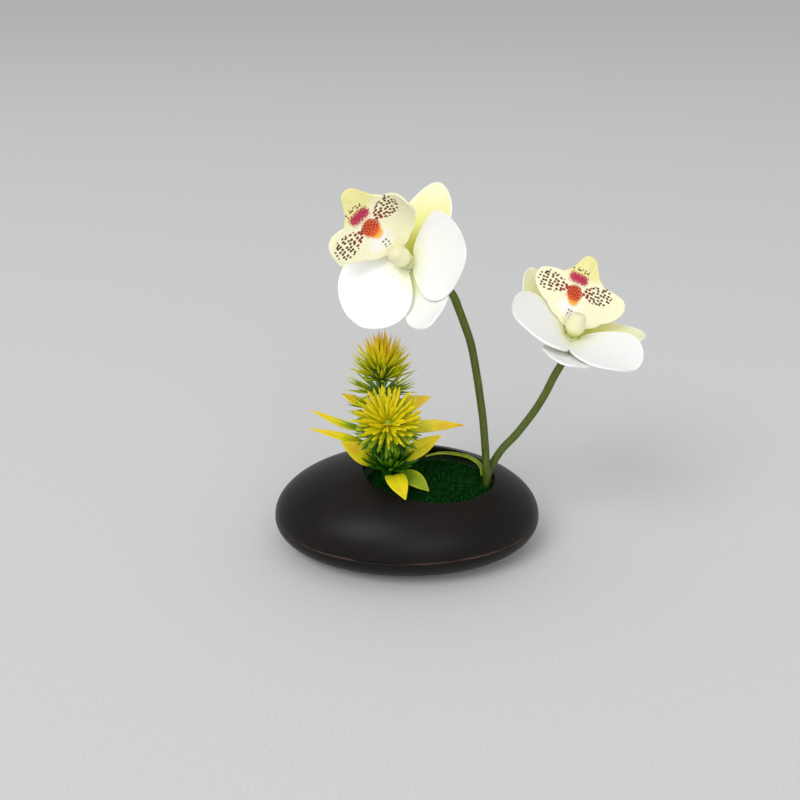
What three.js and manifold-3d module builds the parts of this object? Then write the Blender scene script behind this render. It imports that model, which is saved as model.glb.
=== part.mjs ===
import * as THREE from "three";
import { mergeVertices } from "three/addons/utils/BufferGeometryUtils.js";
import Module from "manifold-3d";

// Artificial orchid arrangement: two wired stems with a spotted orchid each, a spiky foliage pick
// and a grass blade, standing in foam and moss inside a hollow pebble-shaped pot.
// Millimetres, +Z up. The origin is the middle of the pot's flat base.

// Driving dimensions

const GAP = 0.35; // clearance between pieces that touch
const POT = {
  halfLength: 70,
  halfDepth: 52,
  seamHeight: 16.1,
  domeRise: 31.5,
  wall: 2,
  footInset: 25,
  segments: 36,
};
const MOUTH = { x: 11, y: -5.5, halfLength: 34, halfDepth: 27.5, rollDepth: 0.9 };
const TONGUE = { inset: 2.9, thickness: 1.5, top: 19, foot: 10.2 };
const FILL = { plasterTop: 12, foamTop: 34, mossEdge: 35.5, mossCrown: 38.2, mossInset: 0.6 };

const STEM = { radius: 2, bore: 1.4, sides: 8, steps: 24 };
const WIRE = { radius: 0.65, sides: 6 };
const PETAL = { length: 35.7, width: 38, skew: 0, thickness: 1, lift: 2, tip: 0.5 };
const SEPAL = { length: 42, width: 21.5, skew: -0.15, thickness: 0.9, lift: 0, tip: 0.58 };
const TEPAL_CELLS = { across: 5, along: 8 };
const CLAW = { halfWidth: 1.9, start: 3.2, fullness: 0.72, cup: 0.12, halfTip: 0.8 };
const LIP = { thickness: 1, tip: 22.3, columns: 8 };
const COLUMN = { offset: 1.1, foot: 4.4, height: 12.6 };
const LEAF = { thickness: 0.8, petiole: 0.8, bladeStart: 0.12, foot: 0.7, tip: 1.15, end: 0.3 };
const NEEDLE = { hubRadius: 3, hubHeight: 4, sides: 3, clearance: 0.45 };
const GRASS = { width: 2.4, thickness: 0.6 };

// Half outline of the lip: [distance along it from the throat, half width].
const LIP_OUTLINE = [
  [-16.8, 2],
  [-16, 5],
  [-13.8, 8.3],
  [-12, 12],
  [-8.3, 15.8],
  [-4.5, 21.4],
  [-1, 24.3],
  [2.2, 25.6],
  [5.5, 25],
  [7.7, 23.4],
  [9.1, 19],
  [9.7, 12.2],
  [11.3, 10.4],
  [13.4, 7.7],
  [17.5, 5.4],
  [21, 3.6],
  [22.3, 1.6],
];

// Each flower: where its centre is, the way its face looks, the way its dorsal sepal points,
// and how each tepal is set. A tepal has the angle round the flower from the dorsal sepal, the rise
// from the flower's plane at its foot and at its tip, and the twist about its own midrib, in degrees.
const FLOWERS = [
  {
    name: "orchid_a",
    centre: [1.5, -8, 154.2],
    facing: [-0.53, -0.62, 0.58],
    dorsal: [0.28, -0.78, -0.56],
    petal_right: { round: 54.9, foot: 9.1, tip: 22.9, twist: 16.8 },
    petal_left: { round: -68.6, foot: 16.1, tip: -12.5, twist: -17.1 },
    dorsal_sepal: { round: 1.2, foot: -13.4, tip: 42.7, twist: 2 },
    sepal_right: { round: 143.8, foot: -12.7, tip: 0.5, twist: 11.8 },
    sepal_left: { round: -134.2, foot: 23.8, tip: 3.8, twist: -0.8 },
    lip: { lean: 26.6, throat: 26, roll: 11.6, spin: 4, left: 0.009, right: 0.053, curl: 0.6 },
    stem: [
      [41.5, -7.8, 17],
      [41.3, -7.5, 36],
      [40.6, -6.6, 49.4],
      [38.5, -4.6, 71.4],
      [36.9, -3.8, 82.3],
      [34.2, -3, 98.3],
      [31.1, -3, 112.9],
      [28.1, -3, 121.6],
      [25.1, -3, 129.6],
      [21.4, -2.2, 137.8],
      [14.6, 0.4, 143.2],
    ],
  },
  {
    name: "orchid_b",
    centre: [80.2, 0, 111.6],
    facing: [0.22, -0.13, 0.97],
    dorsal: [-0.11, -0.99, -0.11],
    petal_right: { round: 51, foot: 14.8, tip: -4.9, twist: 6.7 },
    petal_left: { round: -62.8, foot: 26, tip: 11, twist: -14.5 },
    dorsal_sepal: { round: -8.7, foot: 1.9, tip: 22.1, twist: -1.9 },
    sepal_right: { round: 119.5, foot: 10.2, tip: 3.1, twist: -2.1 },
    sepal_left: { round: -135.6, foot: 16, tip: 48, twist: -3.9 },
    lip: { lean: 39.5, throat: 23.8, roll: 18.3, spin: -4.1, left: -0.007, right: 0.007, curl: 0.9 },
    stem: [
      [41.8, -3, 17],
      [42.1, -3, 37],
      [43.2, -2.8, 43],
      [45.8, -2.3, 48.5],
      [49.6, -1.6, 54.4],
      [54.6, -1, 59.9],
      [58.1, -0.5, 64.3],
      [65.3, 0, 75.1],
      [69.9, 0, 84],
      [74, 0.4, 93.6],
    ],
  },
];

// The foliage pick: two stems, rings of needles threaded on them, and broad leaves from its foot.
const PICK_RADIUS = 1.3;
const PICK_STEMS = {
  back: [
    [-12, -2.5, 18],
    [-12, -2, 40],
    [-13, 2, 66],
    [-13.2, 4, 84],
    [-13, 4, 96.5],
  ],
  front: [
    [-9, -8.5, 18],
    [-9.2, -8.5, 40],
    [-9.6, -10, 60],
    [-9.7, -13.2, 71.5],
    [-9.6, -18, 76.2],
  ],
};

// Needle rings: the stem and how far along it the ring sits, the ring's needles (how many, how long,
// how thick), and how far its lowest and highest needle rise from the ring's plane, in degrees.
const RINGS = [
  { name: "needles_crown", on: "back", at: 0.985, count: 18, length: 21.5, thick: 1, rise: [55, 88] },
  { name: "needles_upper", on: "back", at: 0.93, count: 22, length: 19.5, thick: 0.9, rise: [24, 42] },
  { name: "needles_middle", on: "back", at: 0.84, count: 22, length: 19.5, thick: 0.9, rise: [6, 22] },
  { name: "needles_lower", on: "back", at: 0.72, count: 20, length: 18, thick: 0.9, rise: [-8, 8] },
  { name: "needles_foot", on: "back", at: 0.54, count: 18, length: 15, thick: 0.9, rise: [-14, 0] },
  { name: "straps_front", on: "front", at: 0.985, count: 30, length: 20, thick: 1.2, rise: [16, 56] },
  { name: "straps_under", on: "front", at: 0.88, count: 18, length: 17, thick: 1.1, rise: [-12, 6] },
  { name: "straps_cup", on: "front", at: 0.47, count: 22, length: 16, thick: 1.3, rise: [22, 68] },
];

// Broad leaves: the points that the midrib follows, the blade's width, and the way its face looks.
const SKYWARDS = [0.1, -0.5, 0.85];
const FORWARDS = [0, -0.85, 0.5];
const LEAVES = [
  { route: [[-17, 1, 64.4], [-29, -1.5, 66.5], [-49.2, 0, 75.1]], width: 5, face: SKYWARDS },
  { route: [[-14.2, -2.6, 53], [-30, -8, 62.8], [-49.4, -8, 68.5]], width: 5.5, face: SKYWARDS },
  { route: [[-13.8, -4.6, 46], [-20, -9, 53], [-33.4, -14, 63.9]], width: 11, face: FORWARDS },
  { route: [[-17.4, 3.6, 75.6], [-25.7, 3.5, 78.5], [-33.7, 5, 82.3]], width: 6, face: SKYWARDS },
  { route: [[-8.6, 0.6, 62.6], [10.5, 0, 66.2], [29.6, 2, 65.8]], width: 7, face: FORWARDS },
  { route: [[-5.2, -7.4, 49], [1.3, -8, 54.1], [17.4, -8, 64.9]], width: 9, face: FORWARDS },
  { route: [[-11.2, 3.6, 70], [2, 6, 76], [12.5, 8, 79.2]], width: 9, face: FORWARDS },
  { route: [[-8.4, -11.2, 43], [-6.6, -19, 47], [-0.8, -34.2, 41.9]], width: 11, face: SKYWARDS },
  { route: [[-6.8, -9, 42], [1, -13, 43.6], [11.2, -22, 40.2]], width: 10, face: SKYWARDS },
];

const GRASS_ROUTE = [
  [40.2, 1.6, 36],
  [39.4, 4.6, 40.2],
  [34.6, 10.4, 42.4],
  [26.6, 16, 42.2],
  [18, 18.4, 41.6],
  [9.5, 16.6, 40.6],
];

// Finishes: each piece's colour, roughness and metalness.

const FINISH = {
  pot: [0x241e1b, 0.45, 0],
  plaster: [0xd9d5cc, 0.9, 0],
  foam: [0x4f6b46, 0.95, 0],
  moss: [0x0d3012, 1, 0],
  stem: [0x55682a, 0.5, 0],
  wire: [0x8b8d8f, 0.4, 1],
  petal: [0xf6f6f2, 0.55, 0],
  sepal: [0xe9ea9c, 0.55, 0],
  lip: [0xf6f2bc, 0.55, 0],
  column: [0xe2dc9c, 0.5, 0],
  calyx: [0x7d9440, 0.5, 0],
  needle: [0xd8cf2c, 0.4, 0],
  deepNeedle: [0x2c6a1c, 0.35, 0],
  leaf: [0xd9b81e, 0.4, 0],
};

// Helpers

const wasm = await Module();
wasm.setup();
const { degToRad, lerp } = THREE.MathUtils;

// A closed geometry as a manifold-3d solid.
function solidOf(geometry) {
  const bare = geometry.clone();
  bare.deleteAttribute("normal");
  bare.deleteAttribute("uv");
  const merged = mergeVertices(bare, 1e-3);
  const vertProperties = new Float32Array(merged.attributes.position.array);
  const triVerts = new Uint32Array(merged.index.array);
  return new wasm.Manifold(new wasm.Mesh({ numProp: 3, vertProperties, triVerts }));
}

// A manifold-3d solid as a geometry.
function geometryOf(solid) {
  const { vertProperties, triVerts } = solid.getMesh();
  const geometry = new THREE.BufferGeometry();
  geometry.setAttribute("position", new THREE.BufferAttribute(vertProperties, 3));
  geometry.setIndex(new THREE.BufferAttribute(triVerts, 1));
  geometry.computeVertexNormals();
  return geometry;
}

function meshOf(name, geometry, finish) {
  const [color, roughness, metalness] = FINISH[finish];
  const material = new THREE.MeshStandardMaterial({ color, roughness, metalness });
  const mesh = new THREE.Mesh(geometry, material);
  mesh.name = name;
  return mesh;
}

const vector = (numbers) => new THREE.Vector3(...numbers);

// Moves every point of a geometry to the place that a function gives for it.
function warp(geometry, place) {
  const position = geometry.attributes.position;
  const point = new THREE.Vector3();
  for (let i = 0; i < position.count; i += 1) {
    point.fromBufferAttribute(position, i);
    const moved = place(point.x, point.y, point.z);
    position.setXYZ(i, moved.x, moved.y, moved.z);
  }
  return geometry;
}

// A thin blade: a flat box of cells bent onto a surface. place(across, along, side) gets across from
// -1 to 1, along from 0 to 1, and side -1 on the back face and 1 on the front face.
function blade(columns, rows, place) {
  const box = new THREE.BoxGeometry(2, 1, 2, columns, rows, 1);
  return warp(box, (x, y, z) => place(x, y + 0.5, z));
}

// A closed profile of [radius, height] points turned about Z.
function turned(profile, segments) {
  const points = profile.map(([radius, height]) => new THREE.Vector2(radius, height));
  return new THREE.LatheGeometry(points, segments).rotateX(Math.PI / 2);
}

// A stretch of a longer curve, so that pieces on one route share it exactly.
class Stretch extends THREE.Curve {
  constructor(route, from, to) {
    super();
    this.route = route;
    this.from = from;
    this.to = to;
  }

  getPoint(t, target = new THREE.Vector3()) {
    return this.route.getPointAt(lerp(this.from, this.to, t), target);
  }
}

// A round bar or tube along a route; a bore above 0 makes it hollow.
function bar(route, radius, sides, steps, bore = 0) {
  const section = new THREE.Shape(ring(radius, sides));
  if (bore > 0) section.holes.push(new THREE.Path(ring(bore, sides)));
  return new THREE.ExtrudeGeometry(section, { steps, bevelEnabled: false, extrudePath: route });
}

function ring(radius, sides) {
  return Array.from({ length: sides }, (_, i) => {
    const turn = (i * 2 * Math.PI) / sides;
    return new THREE.Vector2(radius * Math.cos(turn), radius * Math.sin(turn));
  });
}

function smoothRoute(points) {
  return new THREE.CatmullRomCurve3(points.map(vector), false, "centripetal");
}

// Pot

// A point of the dome. `turn` is the angle round it, `inwards` runs from 0 at the seam to 1 at the
// mouth, and `depth` is how far under the outer face the point lies.
function domePoint(turn, inwards, depth) {
  const halfLength = POT.halfLength - depth;
  const halfDepth = POT.halfDepth - depth;
  const mouthX = MOUTH.x + MOUTH.halfLength * Math.cos(turn);
  const mouthY = MOUTH.y + MOUTH.halfDepth * Math.sin(turn);
  const x = lerp(halfLength * Math.cos(turn), mouthX, inwards);
  const y = lerp(halfDepth * Math.sin(turn), mouthY, inwards);
  const reach = Math.min(1, (x / halfLength) ** 2 + (y / halfDepth) ** 2);
  const rise = (POT.domeRise - depth) * Math.sqrt(1 - reach);
  return new THREE.Vector3(x, y, POT.seamHeight + rise);
}

function upperShell() {
  const steps = [0, 0.03, 0.11, 0.26, 0.48, 0.76];
  const outer = steps.map((inwards) => [inwards, 0]);
  const inner = steps.map((inwards) => [inwards, POT.wall]).reverse();
  const roll = [
    [0.96, 0],
    [1, MOUTH.rollDepth],
    [1, POT.wall + MOUTH.rollDepth],
    [0.96, POT.wall + MOUTH.rollDepth],
  ];
  const profile = [...inner, ...outer, ...roll, inner[0]].map(([inwards, depth]) => [2 - inwards, -depth]);
  const place = (x, y, z) => domePoint(Math.atan2(y, x), 2 - Math.hypot(x, y), -z);
  return warp(turned(profile, POT.segments), place);
}

// Points of a quarter ellipse that rises from the flat foot to the side wall.
function footCurve(footRadius, bottom, wallRadius, top, steps) {
  return Array.from({ length: steps + 1 }, (_, i) => {
    const turn = (i * Math.PI) / 2 / steps;
    const radius = footRadius + (wallRadius - footRadius) * Math.sin(turn);
    return [radius, bottom + (top - bottom) * (1 - Math.cos(turn))];
  });
}

// Stretches a round shape along X so that its flat foot turns oval and its wall keeps its profile.
function stretchFoot(x, y, z) {
  const footRadius = POT.halfDepth - POT.footInset;
  const radius = Math.hypot(x, y);
  const extra = (POT.halfLength - POT.halfDepth) * Math.min(1, radius / footRadius);
  return new THREE.Vector3(x + (radius > 0 ? (extra * x) / radius : 0), y, z);
}

function lowerShell() {
  const foot = POT.halfDepth - POT.footInset;
  const rim = POT.seamHeight - GAP;
  const tongueOuter = POT.halfDepth - TONGUE.inset;
  const tongueInner = tongueOuter - TONGUE.thickness;
  const inner = footCurve(foot, POT.wall, POT.halfDepth - POT.wall, POT.seamHeight, 6);
  const profile = [
    [0, 0],
    ...footCurve(foot, 0, POT.halfDepth, rim, 6),
    [tongueOuter, rim],
    [tongueOuter, TONGUE.top],
    [tongueInner, TONGUE.top],
    [tongueInner, TONGUE.foot],
    ...inner.filter(([radius]) => radius < tongueInner).reverse(),
    [0, POT.wall],
  ];
  return warp(turned(profile, POT.segments), stretchFoot);
}

function plasterWeight() {
  const foot = POT.halfDepth - POT.footInset;
  const side = POT.halfDepth - TONGUE.inset - TONGUE.thickness - GAP;
  const bottom = POT.wall + GAP;
  const curve = footCurve(foot, bottom, POT.halfDepth - bottom, POT.seamHeight, 6);
  const below = curve.filter(([radius]) => radius < side);
  const profile = [[0, bottom], ...below, [side, TONGUE.foot], [side, FILL.plasterTop]];
  return warp(turned([...profile, [0, FILL.plasterTop]], POT.segments), stretchFoot);
}

// The foam fills the pot above the plaster; its upper edge follows the inside of the dome.
function foamBlock() {
  const inset = TONGUE.inset + TONGUE.thickness + 0.4;
  const side = POT.halfDepth - inset;
  const rises = [1, 0.97, 0.93, 0.88, 0.82, 0.76];
  const shoulder = rises.map((part) => {
    const [x, y] = [(part * (POT.halfLength - inset)) / (POT.halfLength - POT.wall), 0];
    const height = (POT.domeRise - POT.wall) * Math.sqrt(1 - x * x - y * y) - 1.2;
    return [part * side, Math.min(FILL.foamTop, POT.seamHeight + height)];
  });
  const bottom = FILL.plasterTop + GAP;
  const profile = [[0, bottom], [side, bottom], ...shoulder, [0, FILL.foamTop]];
  const lengthen = (POT.halfLength - inset) / side;
  return turned(profile, POT.segments).scale(lengthen, 1, 1);
}

function mossMat() {
  const inset = FILL.mossInset / MOUTH.halfDepth;
  const rim = 1 - inset;
  const bottom = FILL.foamTop + GAP;
  const crown = [0.86, 0.6, 0.3].map((part) => {
    return [part, lerp(FILL.mossCrown, FILL.mossEdge, part * part)];
  });
  const profile = [[0, bottom], [rim, bottom], [rim, FILL.mossEdge - 0.4], ...crown, [0, FILL.mossCrown]];
  const mat = turned(profile, POT.segments).scale(MOUTH.halfLength, MOUTH.halfDepth, 1);
  return mat.translate(MOUTH.x, MOUTH.y, 0);
}

// Flowers

// The frame of a flower's group: X towards the dorsal sepal, Z out of the flower's face.
function flowerGroup({ name, centre, facing, dorsal }) {
  const outwards = vector(facing).normalize();
  const across = outwards.clone().cross(vector(dorsal)).normalize();
  const towardsDorsal = across.clone().cross(outwards);
  const group = new THREE.Group();
  group.name = name;
  group.position.set(...centre);
  group.quaternion.setFromRotationMatrix(new THREE.Matrix4().makeBasis(towardsDorsal, across, outwards));
  group.updateMatrixWorld(true);
  return group;
}

// A tepal in the flower's frame: its midrib is an arc that starts at the foot angle and ends at the
// tip angle; its half width follows a power of a sine along the arc, blunter towards the tip; its
// edges cup forwards.
function tepal(kind, { round, foot, tip, twist }) {
  const outwards = new THREE.Vector3(Math.cos(degToRad(round)), Math.sin(degToRad(round)), 0);
  const sideways = new THREE.Vector3(-outwards.y, outwards.x, 0);
  const up = new THREE.Vector3(0, 0, 1);
  const start = degToRad(foot);
  const turning = (degToRad(tip) - start) / kind.length;
  const turn = degToRad(twist);
  return blade(TEPAL_CELLS.across, TEPAL_CELLS.along, (across, along, side) => {
    const angle = start + turning * kind.length * along;
    const reach = (Math.sin(angle) - Math.sin(start)) / turning + CLAW.start * Math.cos(start);
    const height = (Math.cos(start) - Math.cos(angle)) / turning + CLAW.start * Math.sin(start);
    const fullness = lerp(CLAW.fullness, kind.tip, along);
    const bulge = Math.sin(Math.PI * along) ** fullness * (1 + kind.skew * Math.cos(Math.PI * along));
    const halfWidth = Math.max(CLAW.halfTip, CLAW.halfWidth * (1 - along) + (kind.width / 2) * bulge);
    const normal = up.clone().multiplyScalar(Math.cos(angle)).addScaledVector(outwards, -Math.sin(angle));
    const offset = -across * halfWidth;
    const cup = CLAW.cup * halfWidth * across * across;
    return new THREE.Vector3(0, 0, height + kind.lift)
      .addScaledVector(outwards, reach)
      .addScaledVector(sideways, offset * Math.cos(turn))
      .addScaledVector(normal, offset * Math.sin(turn) + cup + (side * kind.thickness) / 2);
  });
}

// The lip in its own frame: the throat at the origin, the midlobe along Y, the printed face up Z.
// Each side lobe is bent to an arc of its own curvature, and the midlobe curls up to its tip.
function lip({ left, right, curl }) {
  const rows = LIP_OUTLINE.length - 1;
  return blade(LIP.columns, rows, (across, along, side) => {
    const [y, halfWidth] = LIP_OUTLINE[Math.round(along * rows)];
    const bend = across < 0 ? left : right;
    const angle = bend * Math.abs(across) * halfWidth;
    const offset = (side * LIP.thickness) / 2;
    const x = Math.sin(angle) / bend - offset * Math.sin(angle);
    const lobe = (1 - Math.cos(angle)) / bend + offset * Math.cos(angle);
    return new THREE.Vector3(Math.sign(across) * x, y, lobe + curl * (Math.max(0, y) / LIP.tip) ** 2);
  });
}

// The lip's frame leans back from the flower's face, rolls about its own length and is spun a
// little about its face.
function lipGroup({ lean, throat, roll, spin }) {
  const back = degToRad(lean);
  const along = new THREE.Vector3(-Math.sin(back), 0, Math.cos(back));
  const face = new THREE.Vector3(Math.cos(back), 0, Math.sin(back)).applyAxisAngle(along, degToRad(roll));
  const across = along.clone().cross(face);
  const group = new THREE.Group();
  group.position.copy(along).multiplyScalar(throat);
  group.quaternion.setFromRotationMatrix(new THREE.Matrix4().makeBasis(across, along, face));
  group.rotateZ(degToRad(spin));
  return group;
}

function column() {
  const profile = [
    [0, 0],
    [2, 0],
    [2.9, 0.12],
    [4.5, 0.3],
    [4.9, 0.48],
    [4.5, 0.7],
    [3.8, 0.86],
    [2.7, 0.96],
    [0, 1],
  ].map(([radius, part]) => [radius, part * COLUMN.height]);
  return turned(profile, 14).translate(COLUMN.offset, 0, COLUMN.foot);
}

// The hub that the tepals plug into, with the green cap and the blind socket of the wire behind it.
function calyx() {
  const profile = [
    [0, -5.2],
    [STEM.bore, -5.2],
    [STEM.bore, -8.6],
    [2.6, -8.6],
    [3.1, -6],
    [2.8, -3.8],
    [1.8, -2.4],
    [1.8, 3.2],
    [0, 3.4],
  ];
  return turned(profile, 16);
}

const STEM_END = 9; // from the flower's centre back to the end of its stem
const WIRE_END = 5.8;

function stemRoute(flower, group) {
  const behind = (distance) => group.localToWorld(new THREE.Vector3(0, 0, -distance)).toArray();
  return smoothRoute([...flower.stem, behind(STEM_END + 2.5), behind(STEM_END), behind(WIRE_END)]);
}

function flowerParts(flower) {
  const { name } = flower;
  const group = flowerGroup(flower);
  const add = (piece, geometry, finish) => group.add(meshOf(`${name}_${piece}`, geometry, finish));
  add("dorsal_sepal", tepal(SEPAL, flower.dorsal_sepal), "petal");
  add("sepal_left", tepal(SEPAL, flower.sepal_left), "sepal");
  add("sepal_right", tepal(SEPAL, flower.sepal_right), "sepal");
  add("petal_left", tepal(PETAL, flower.petal_left), "petal");
  add("petal_right", tepal(PETAL, flower.petal_right), "petal");
  add("column", column(), "column");
  add("calyx", calyx(), "calyx");
  const lipFrame = lipGroup(flower.lip);
  lipFrame.add(meshOf(`${name}_lip`, lip(flower.lip), "lip"));
  group.add(lipFrame);

  const route = stemRoute(flower, group);
  const sleeveEnd = 1 - (STEM_END - WIRE_END) / route.getLength();
  const sleeve = new Stretch(route, 0, sleeveEnd);
  const wire = new Stretch(route, 0.02, 1);
  const stem = meshOf(`${name}_stem`, bar(sleeve, STEM.radius, STEM.sides, STEM.steps, STEM.bore), "stem");
  const core = meshOf(`${name}_stem_wire`, bar(wire, WIRE.radius, WIRE.sides, STEM.steps), "wire");
  return { pieces: [group, stem, core], route };
}

// Foliage

// A leaf or grass blade along a route, with its face towards a given direction. halfWidth(along)
// gives the half width at a part of the route's length.
function leafBlade(route, face, rows, thickness, halfWidth) {
  return blade(2, rows, (across, along, side) => {
    const tangent = route.getTangentAt(along);
    const sideways = tangent.clone().cross(vector(face)).normalize();
    const normal = sideways.clone().cross(tangent);
    return route
      .getPointAt(along)
      .addScaledVector(sideways, across * halfWidth(along))
      .addScaledVector(normal, (side * thickness) / 2);
  });
}

function broadLeaf({ route, width, face }) {
  const halfWidth = (along) => {
    const part = Math.max(0, (along - LEAF.bladeStart) / (1 - LEAF.bladeStart));
    const swell = Math.sin(Math.PI * part ** 0.8) ** lerp(LEAF.foot, LEAF.tip, part);
    return lerp(LEAF.petiole, LEAF.end, part) + (width / 2 - LEAF.petiole) * swell;
  };
  return leafBlade(smoothRoute(route), face, 10, LEAF.thickness, halfWidth);
}

// The grass blade, or with a margin the slot that its foot needs in the moss.
function grassBlade(margin = 0) {
  const halfWidth = (along) => margin + (GRASS.width / 2) * (1 - 0.7 * along ** 3);
  const thickness = GRASS.thickness + 2 * margin;
  return leafBlade(smoothRoute(GRASS_ROUTE), SKYWARDS, 14, thickness, halfWidth);
}

const GOLDEN_ANGLE = Math.PI * (3 - Math.sqrt(5));

// The directions of a ring's needles: spaced by the golden angle, rising from low to high.
function needleDirections(axis, { count, rise: [low, high] }) {
  const level = new THREE.Quaternion().setFromUnitVectors(new THREE.Vector3(0, 0, 1), axis);
  return Array.from({ length: count }, (_, i) => {
    const angle = degToRad(lerp(low, high, (i + 0.5) / count));
    const turn = i * GOLDEN_ANGLE;
    const flat = new THREE.Vector3(Math.cos(turn), Math.sin(turn), 0).multiplyScalar(Math.cos(angle));
    return flat.setZ(Math.sin(angle)).applyQuaternion(level);
  });
}

function needle(centre, direction, length, radius) {
  const cone = new THREE.ConeGeometry(radius, length, NEEDLE.sides).translate(0, length / 2, 0);
  cone.applyQuaternion(new THREE.Quaternion().setFromUnitVectors(new THREE.Vector3(0, 1, 0), direction));
  return solidOf(cone.translate(...centre.toArray()));
}

// A ring: a hub with needles joined to it, bored for its stem. A needle that would touch one of the
// pieces already there is left out.
function needleRing(spec, route, others) {
  const centre = route.getPointAt(spec.at);
  const axis = route.getTangentAt(spec.at);
  const level = new THREE.Quaternion().setFromUnitVectors(new THREE.Vector3(0, 0, 1), axis);
  const half = NEEDLE.hubHeight / 2;
  const wide = NEEDLE.hubRadius;
  const hub = turned([[0, -half], [wide * 0.8, -half], [wide, 0], [wide * 0.8, half], [0, half]], 10);
  const hubSolid = solidOf(hub.applyQuaternion(level).translate(...centre.toArray()));
  const clear = (direction) => {
    const fat = needle(centre, direction, spec.length + NEEDLE.clearance, spec.thick + NEEDLE.clearance);
    return others.every((other) => fat.intersect(other).volume() === 0);
  };
  const needles = needleDirections(axis, spec)
    .filter(clear)
    .map((direction) => needle(centre, direction, spec.length, spec.thick));
  return needles.reduce((whole, one) => whole.add(one), hubSolid);
}

function foliageParts() {
  const pieces = [];
  const standing = [];
  LEAVES.forEach((leaf, i) => {
    const geometry = broadLeaf(leaf);
    standing.push(solidOf(geometry));
    pieces.push(meshOf(`leaf_${i + 1}`, geometry, "leaf"));
  });
  const stems = Object.entries(PICK_STEMS).map(([name, points]) => {
    const route = smoothRoute(points);
    pieces.push(meshOf(`foliage_stem_${name}`, bar(route, PICK_RADIUS, 6, 16), "deepNeedle"));
    return { name, route, bore: solidOf(bar(route, PICK_RADIUS + GAP, 6, 16)) };
  });
  for (const spec of RINGS) {
    const own = stems.find(({ name }) => name === spec.on);
    const other = stems.find(({ name }) => name !== spec.on);
    const bored = needleRing(spec, own.route, [...standing, other.bore]).subtract(own.bore);
    standing.push(bored);
    const finish = spec.name === "straps_cup" ? "deepNeedle" : "needle";
    pieces.push(meshOf(spec.name, geometryOf(bored), finish));
  }
  return { pieces, routes: stems.map(({ route }) => route) };
}

// Assembly

const arrangement = new THREE.Group();
arrangement.name = "orchid_arrangement";

const flowers = FLOWERS.map(flowerParts);
const foliage = foliageParts();

const drills = [
  ...flowers.map(({ route }) => bar(new Stretch(route, 0, 0.3), STEM.radius + GAP, STEM.sides, 10)),
  ...foliage.routes.map((route) => bar(new Stretch(route, 0, 0.4), PICK_RADIUS + GAP, STEM.sides, 8)),
  grassBlade(GAP),
].map(solidOf);

// A piece of the filling with a hole for every stem that passes through it.
function drilled(geometry) {
  return geometryOf(drills.reduce((left, drill) => left.subtract(drill), solidOf(geometry)));
}

arrangement.add(meshOf("pot_upper_shell", upperShell(), "pot"));
arrangement.add(meshOf("pot_lower_shell", lowerShell(), "pot"));
arrangement.add(meshOf("plaster_weight", plasterWeight(), "plaster"));
arrangement.add(meshOf("foam_block", drilled(foamBlock()), "foam"));
arrangement.add(meshOf("moss_mat", drilled(mossMat()), "moss"));
arrangement.add(meshOf("grass_blade", grassBlade(), "leaf"));
flowers.forEach(({ pieces }) => arrangement.add(...pieces));
arrangement.add(...foliage.pieces);

export default arrangement;
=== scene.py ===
# %% [markdown]
# # An artificial orchid arrangement in a pebble pot
#
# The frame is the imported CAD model: the pot's two shells, its filling, two wired stems with an orchid
# each, a foliage pick and one grass blade. Every new piece below stands where a CAD piece is, but is a
# smooth, finely drawn surface instead of a faceted one. Only the hubs and the stem sleeves reach a
# little further than the CAD's, to close the gaps behind a flower. Loading the frame first gives the
# box that all of it has to stay inside.

import bpy
import numpy as np
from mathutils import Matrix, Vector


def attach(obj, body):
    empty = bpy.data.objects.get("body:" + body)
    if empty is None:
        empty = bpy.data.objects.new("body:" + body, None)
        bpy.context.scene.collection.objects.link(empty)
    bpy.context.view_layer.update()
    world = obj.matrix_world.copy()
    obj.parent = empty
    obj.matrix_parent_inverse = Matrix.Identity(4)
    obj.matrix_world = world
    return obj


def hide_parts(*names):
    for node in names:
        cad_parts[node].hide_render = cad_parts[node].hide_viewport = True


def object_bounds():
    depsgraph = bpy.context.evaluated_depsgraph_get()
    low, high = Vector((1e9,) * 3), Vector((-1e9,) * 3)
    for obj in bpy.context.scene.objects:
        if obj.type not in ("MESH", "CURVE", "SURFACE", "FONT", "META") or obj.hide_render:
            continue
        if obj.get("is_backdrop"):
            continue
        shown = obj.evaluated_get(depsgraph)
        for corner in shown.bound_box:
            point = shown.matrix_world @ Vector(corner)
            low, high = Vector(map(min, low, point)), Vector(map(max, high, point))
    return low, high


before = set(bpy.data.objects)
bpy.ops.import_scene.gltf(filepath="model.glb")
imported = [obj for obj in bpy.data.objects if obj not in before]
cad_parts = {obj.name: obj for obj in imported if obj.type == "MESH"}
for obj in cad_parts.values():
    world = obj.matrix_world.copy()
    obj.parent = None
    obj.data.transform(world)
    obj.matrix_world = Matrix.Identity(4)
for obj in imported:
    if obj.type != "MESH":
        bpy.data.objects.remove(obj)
cad_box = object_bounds()
print("CAD box in metres:", [[round(v, 4) for v in corner] for corner in cad_box])

# %% [markdown]
# The camera comes next, so that every look can be judged through it. It stands in front of the
# arrangement and a little above it, tipped down at the table, with a lens slightly longer than normal.

# %% Camera
camera_data = bpy.data.cameras.new("camera")
camera_data.lens = 45
camera_data.sensor_width = 36
camera = bpy.data.objects.new("camera", camera_data)
camera.location = (-0.0036846, -0.4674257, 0.281044)
camera.rotation_euler = (np.radians(66.8), 0, 0)
bpy.context.scene.collection.objects.link(camera)
bpy.context.scene.camera = camera
print("camera height in metres:", round(camera.location.z, 3))

# %% [markdown]
# All the shapes are surfaces on a grid. Copy, row and column number each point, the columns go round
# a section and meet again, and the rows either meet again too, as on a tube with a bore, or close on
# one point at each end, as on a leaf. One function turns such a grid into a mesh. It measures the
# volume as it goes: a negative one means that the faces look inwards, so they are turned over.

# %% Grid to closed mesh
MM = 0.001
SHARP_CORNER = np.radians(38)


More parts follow.
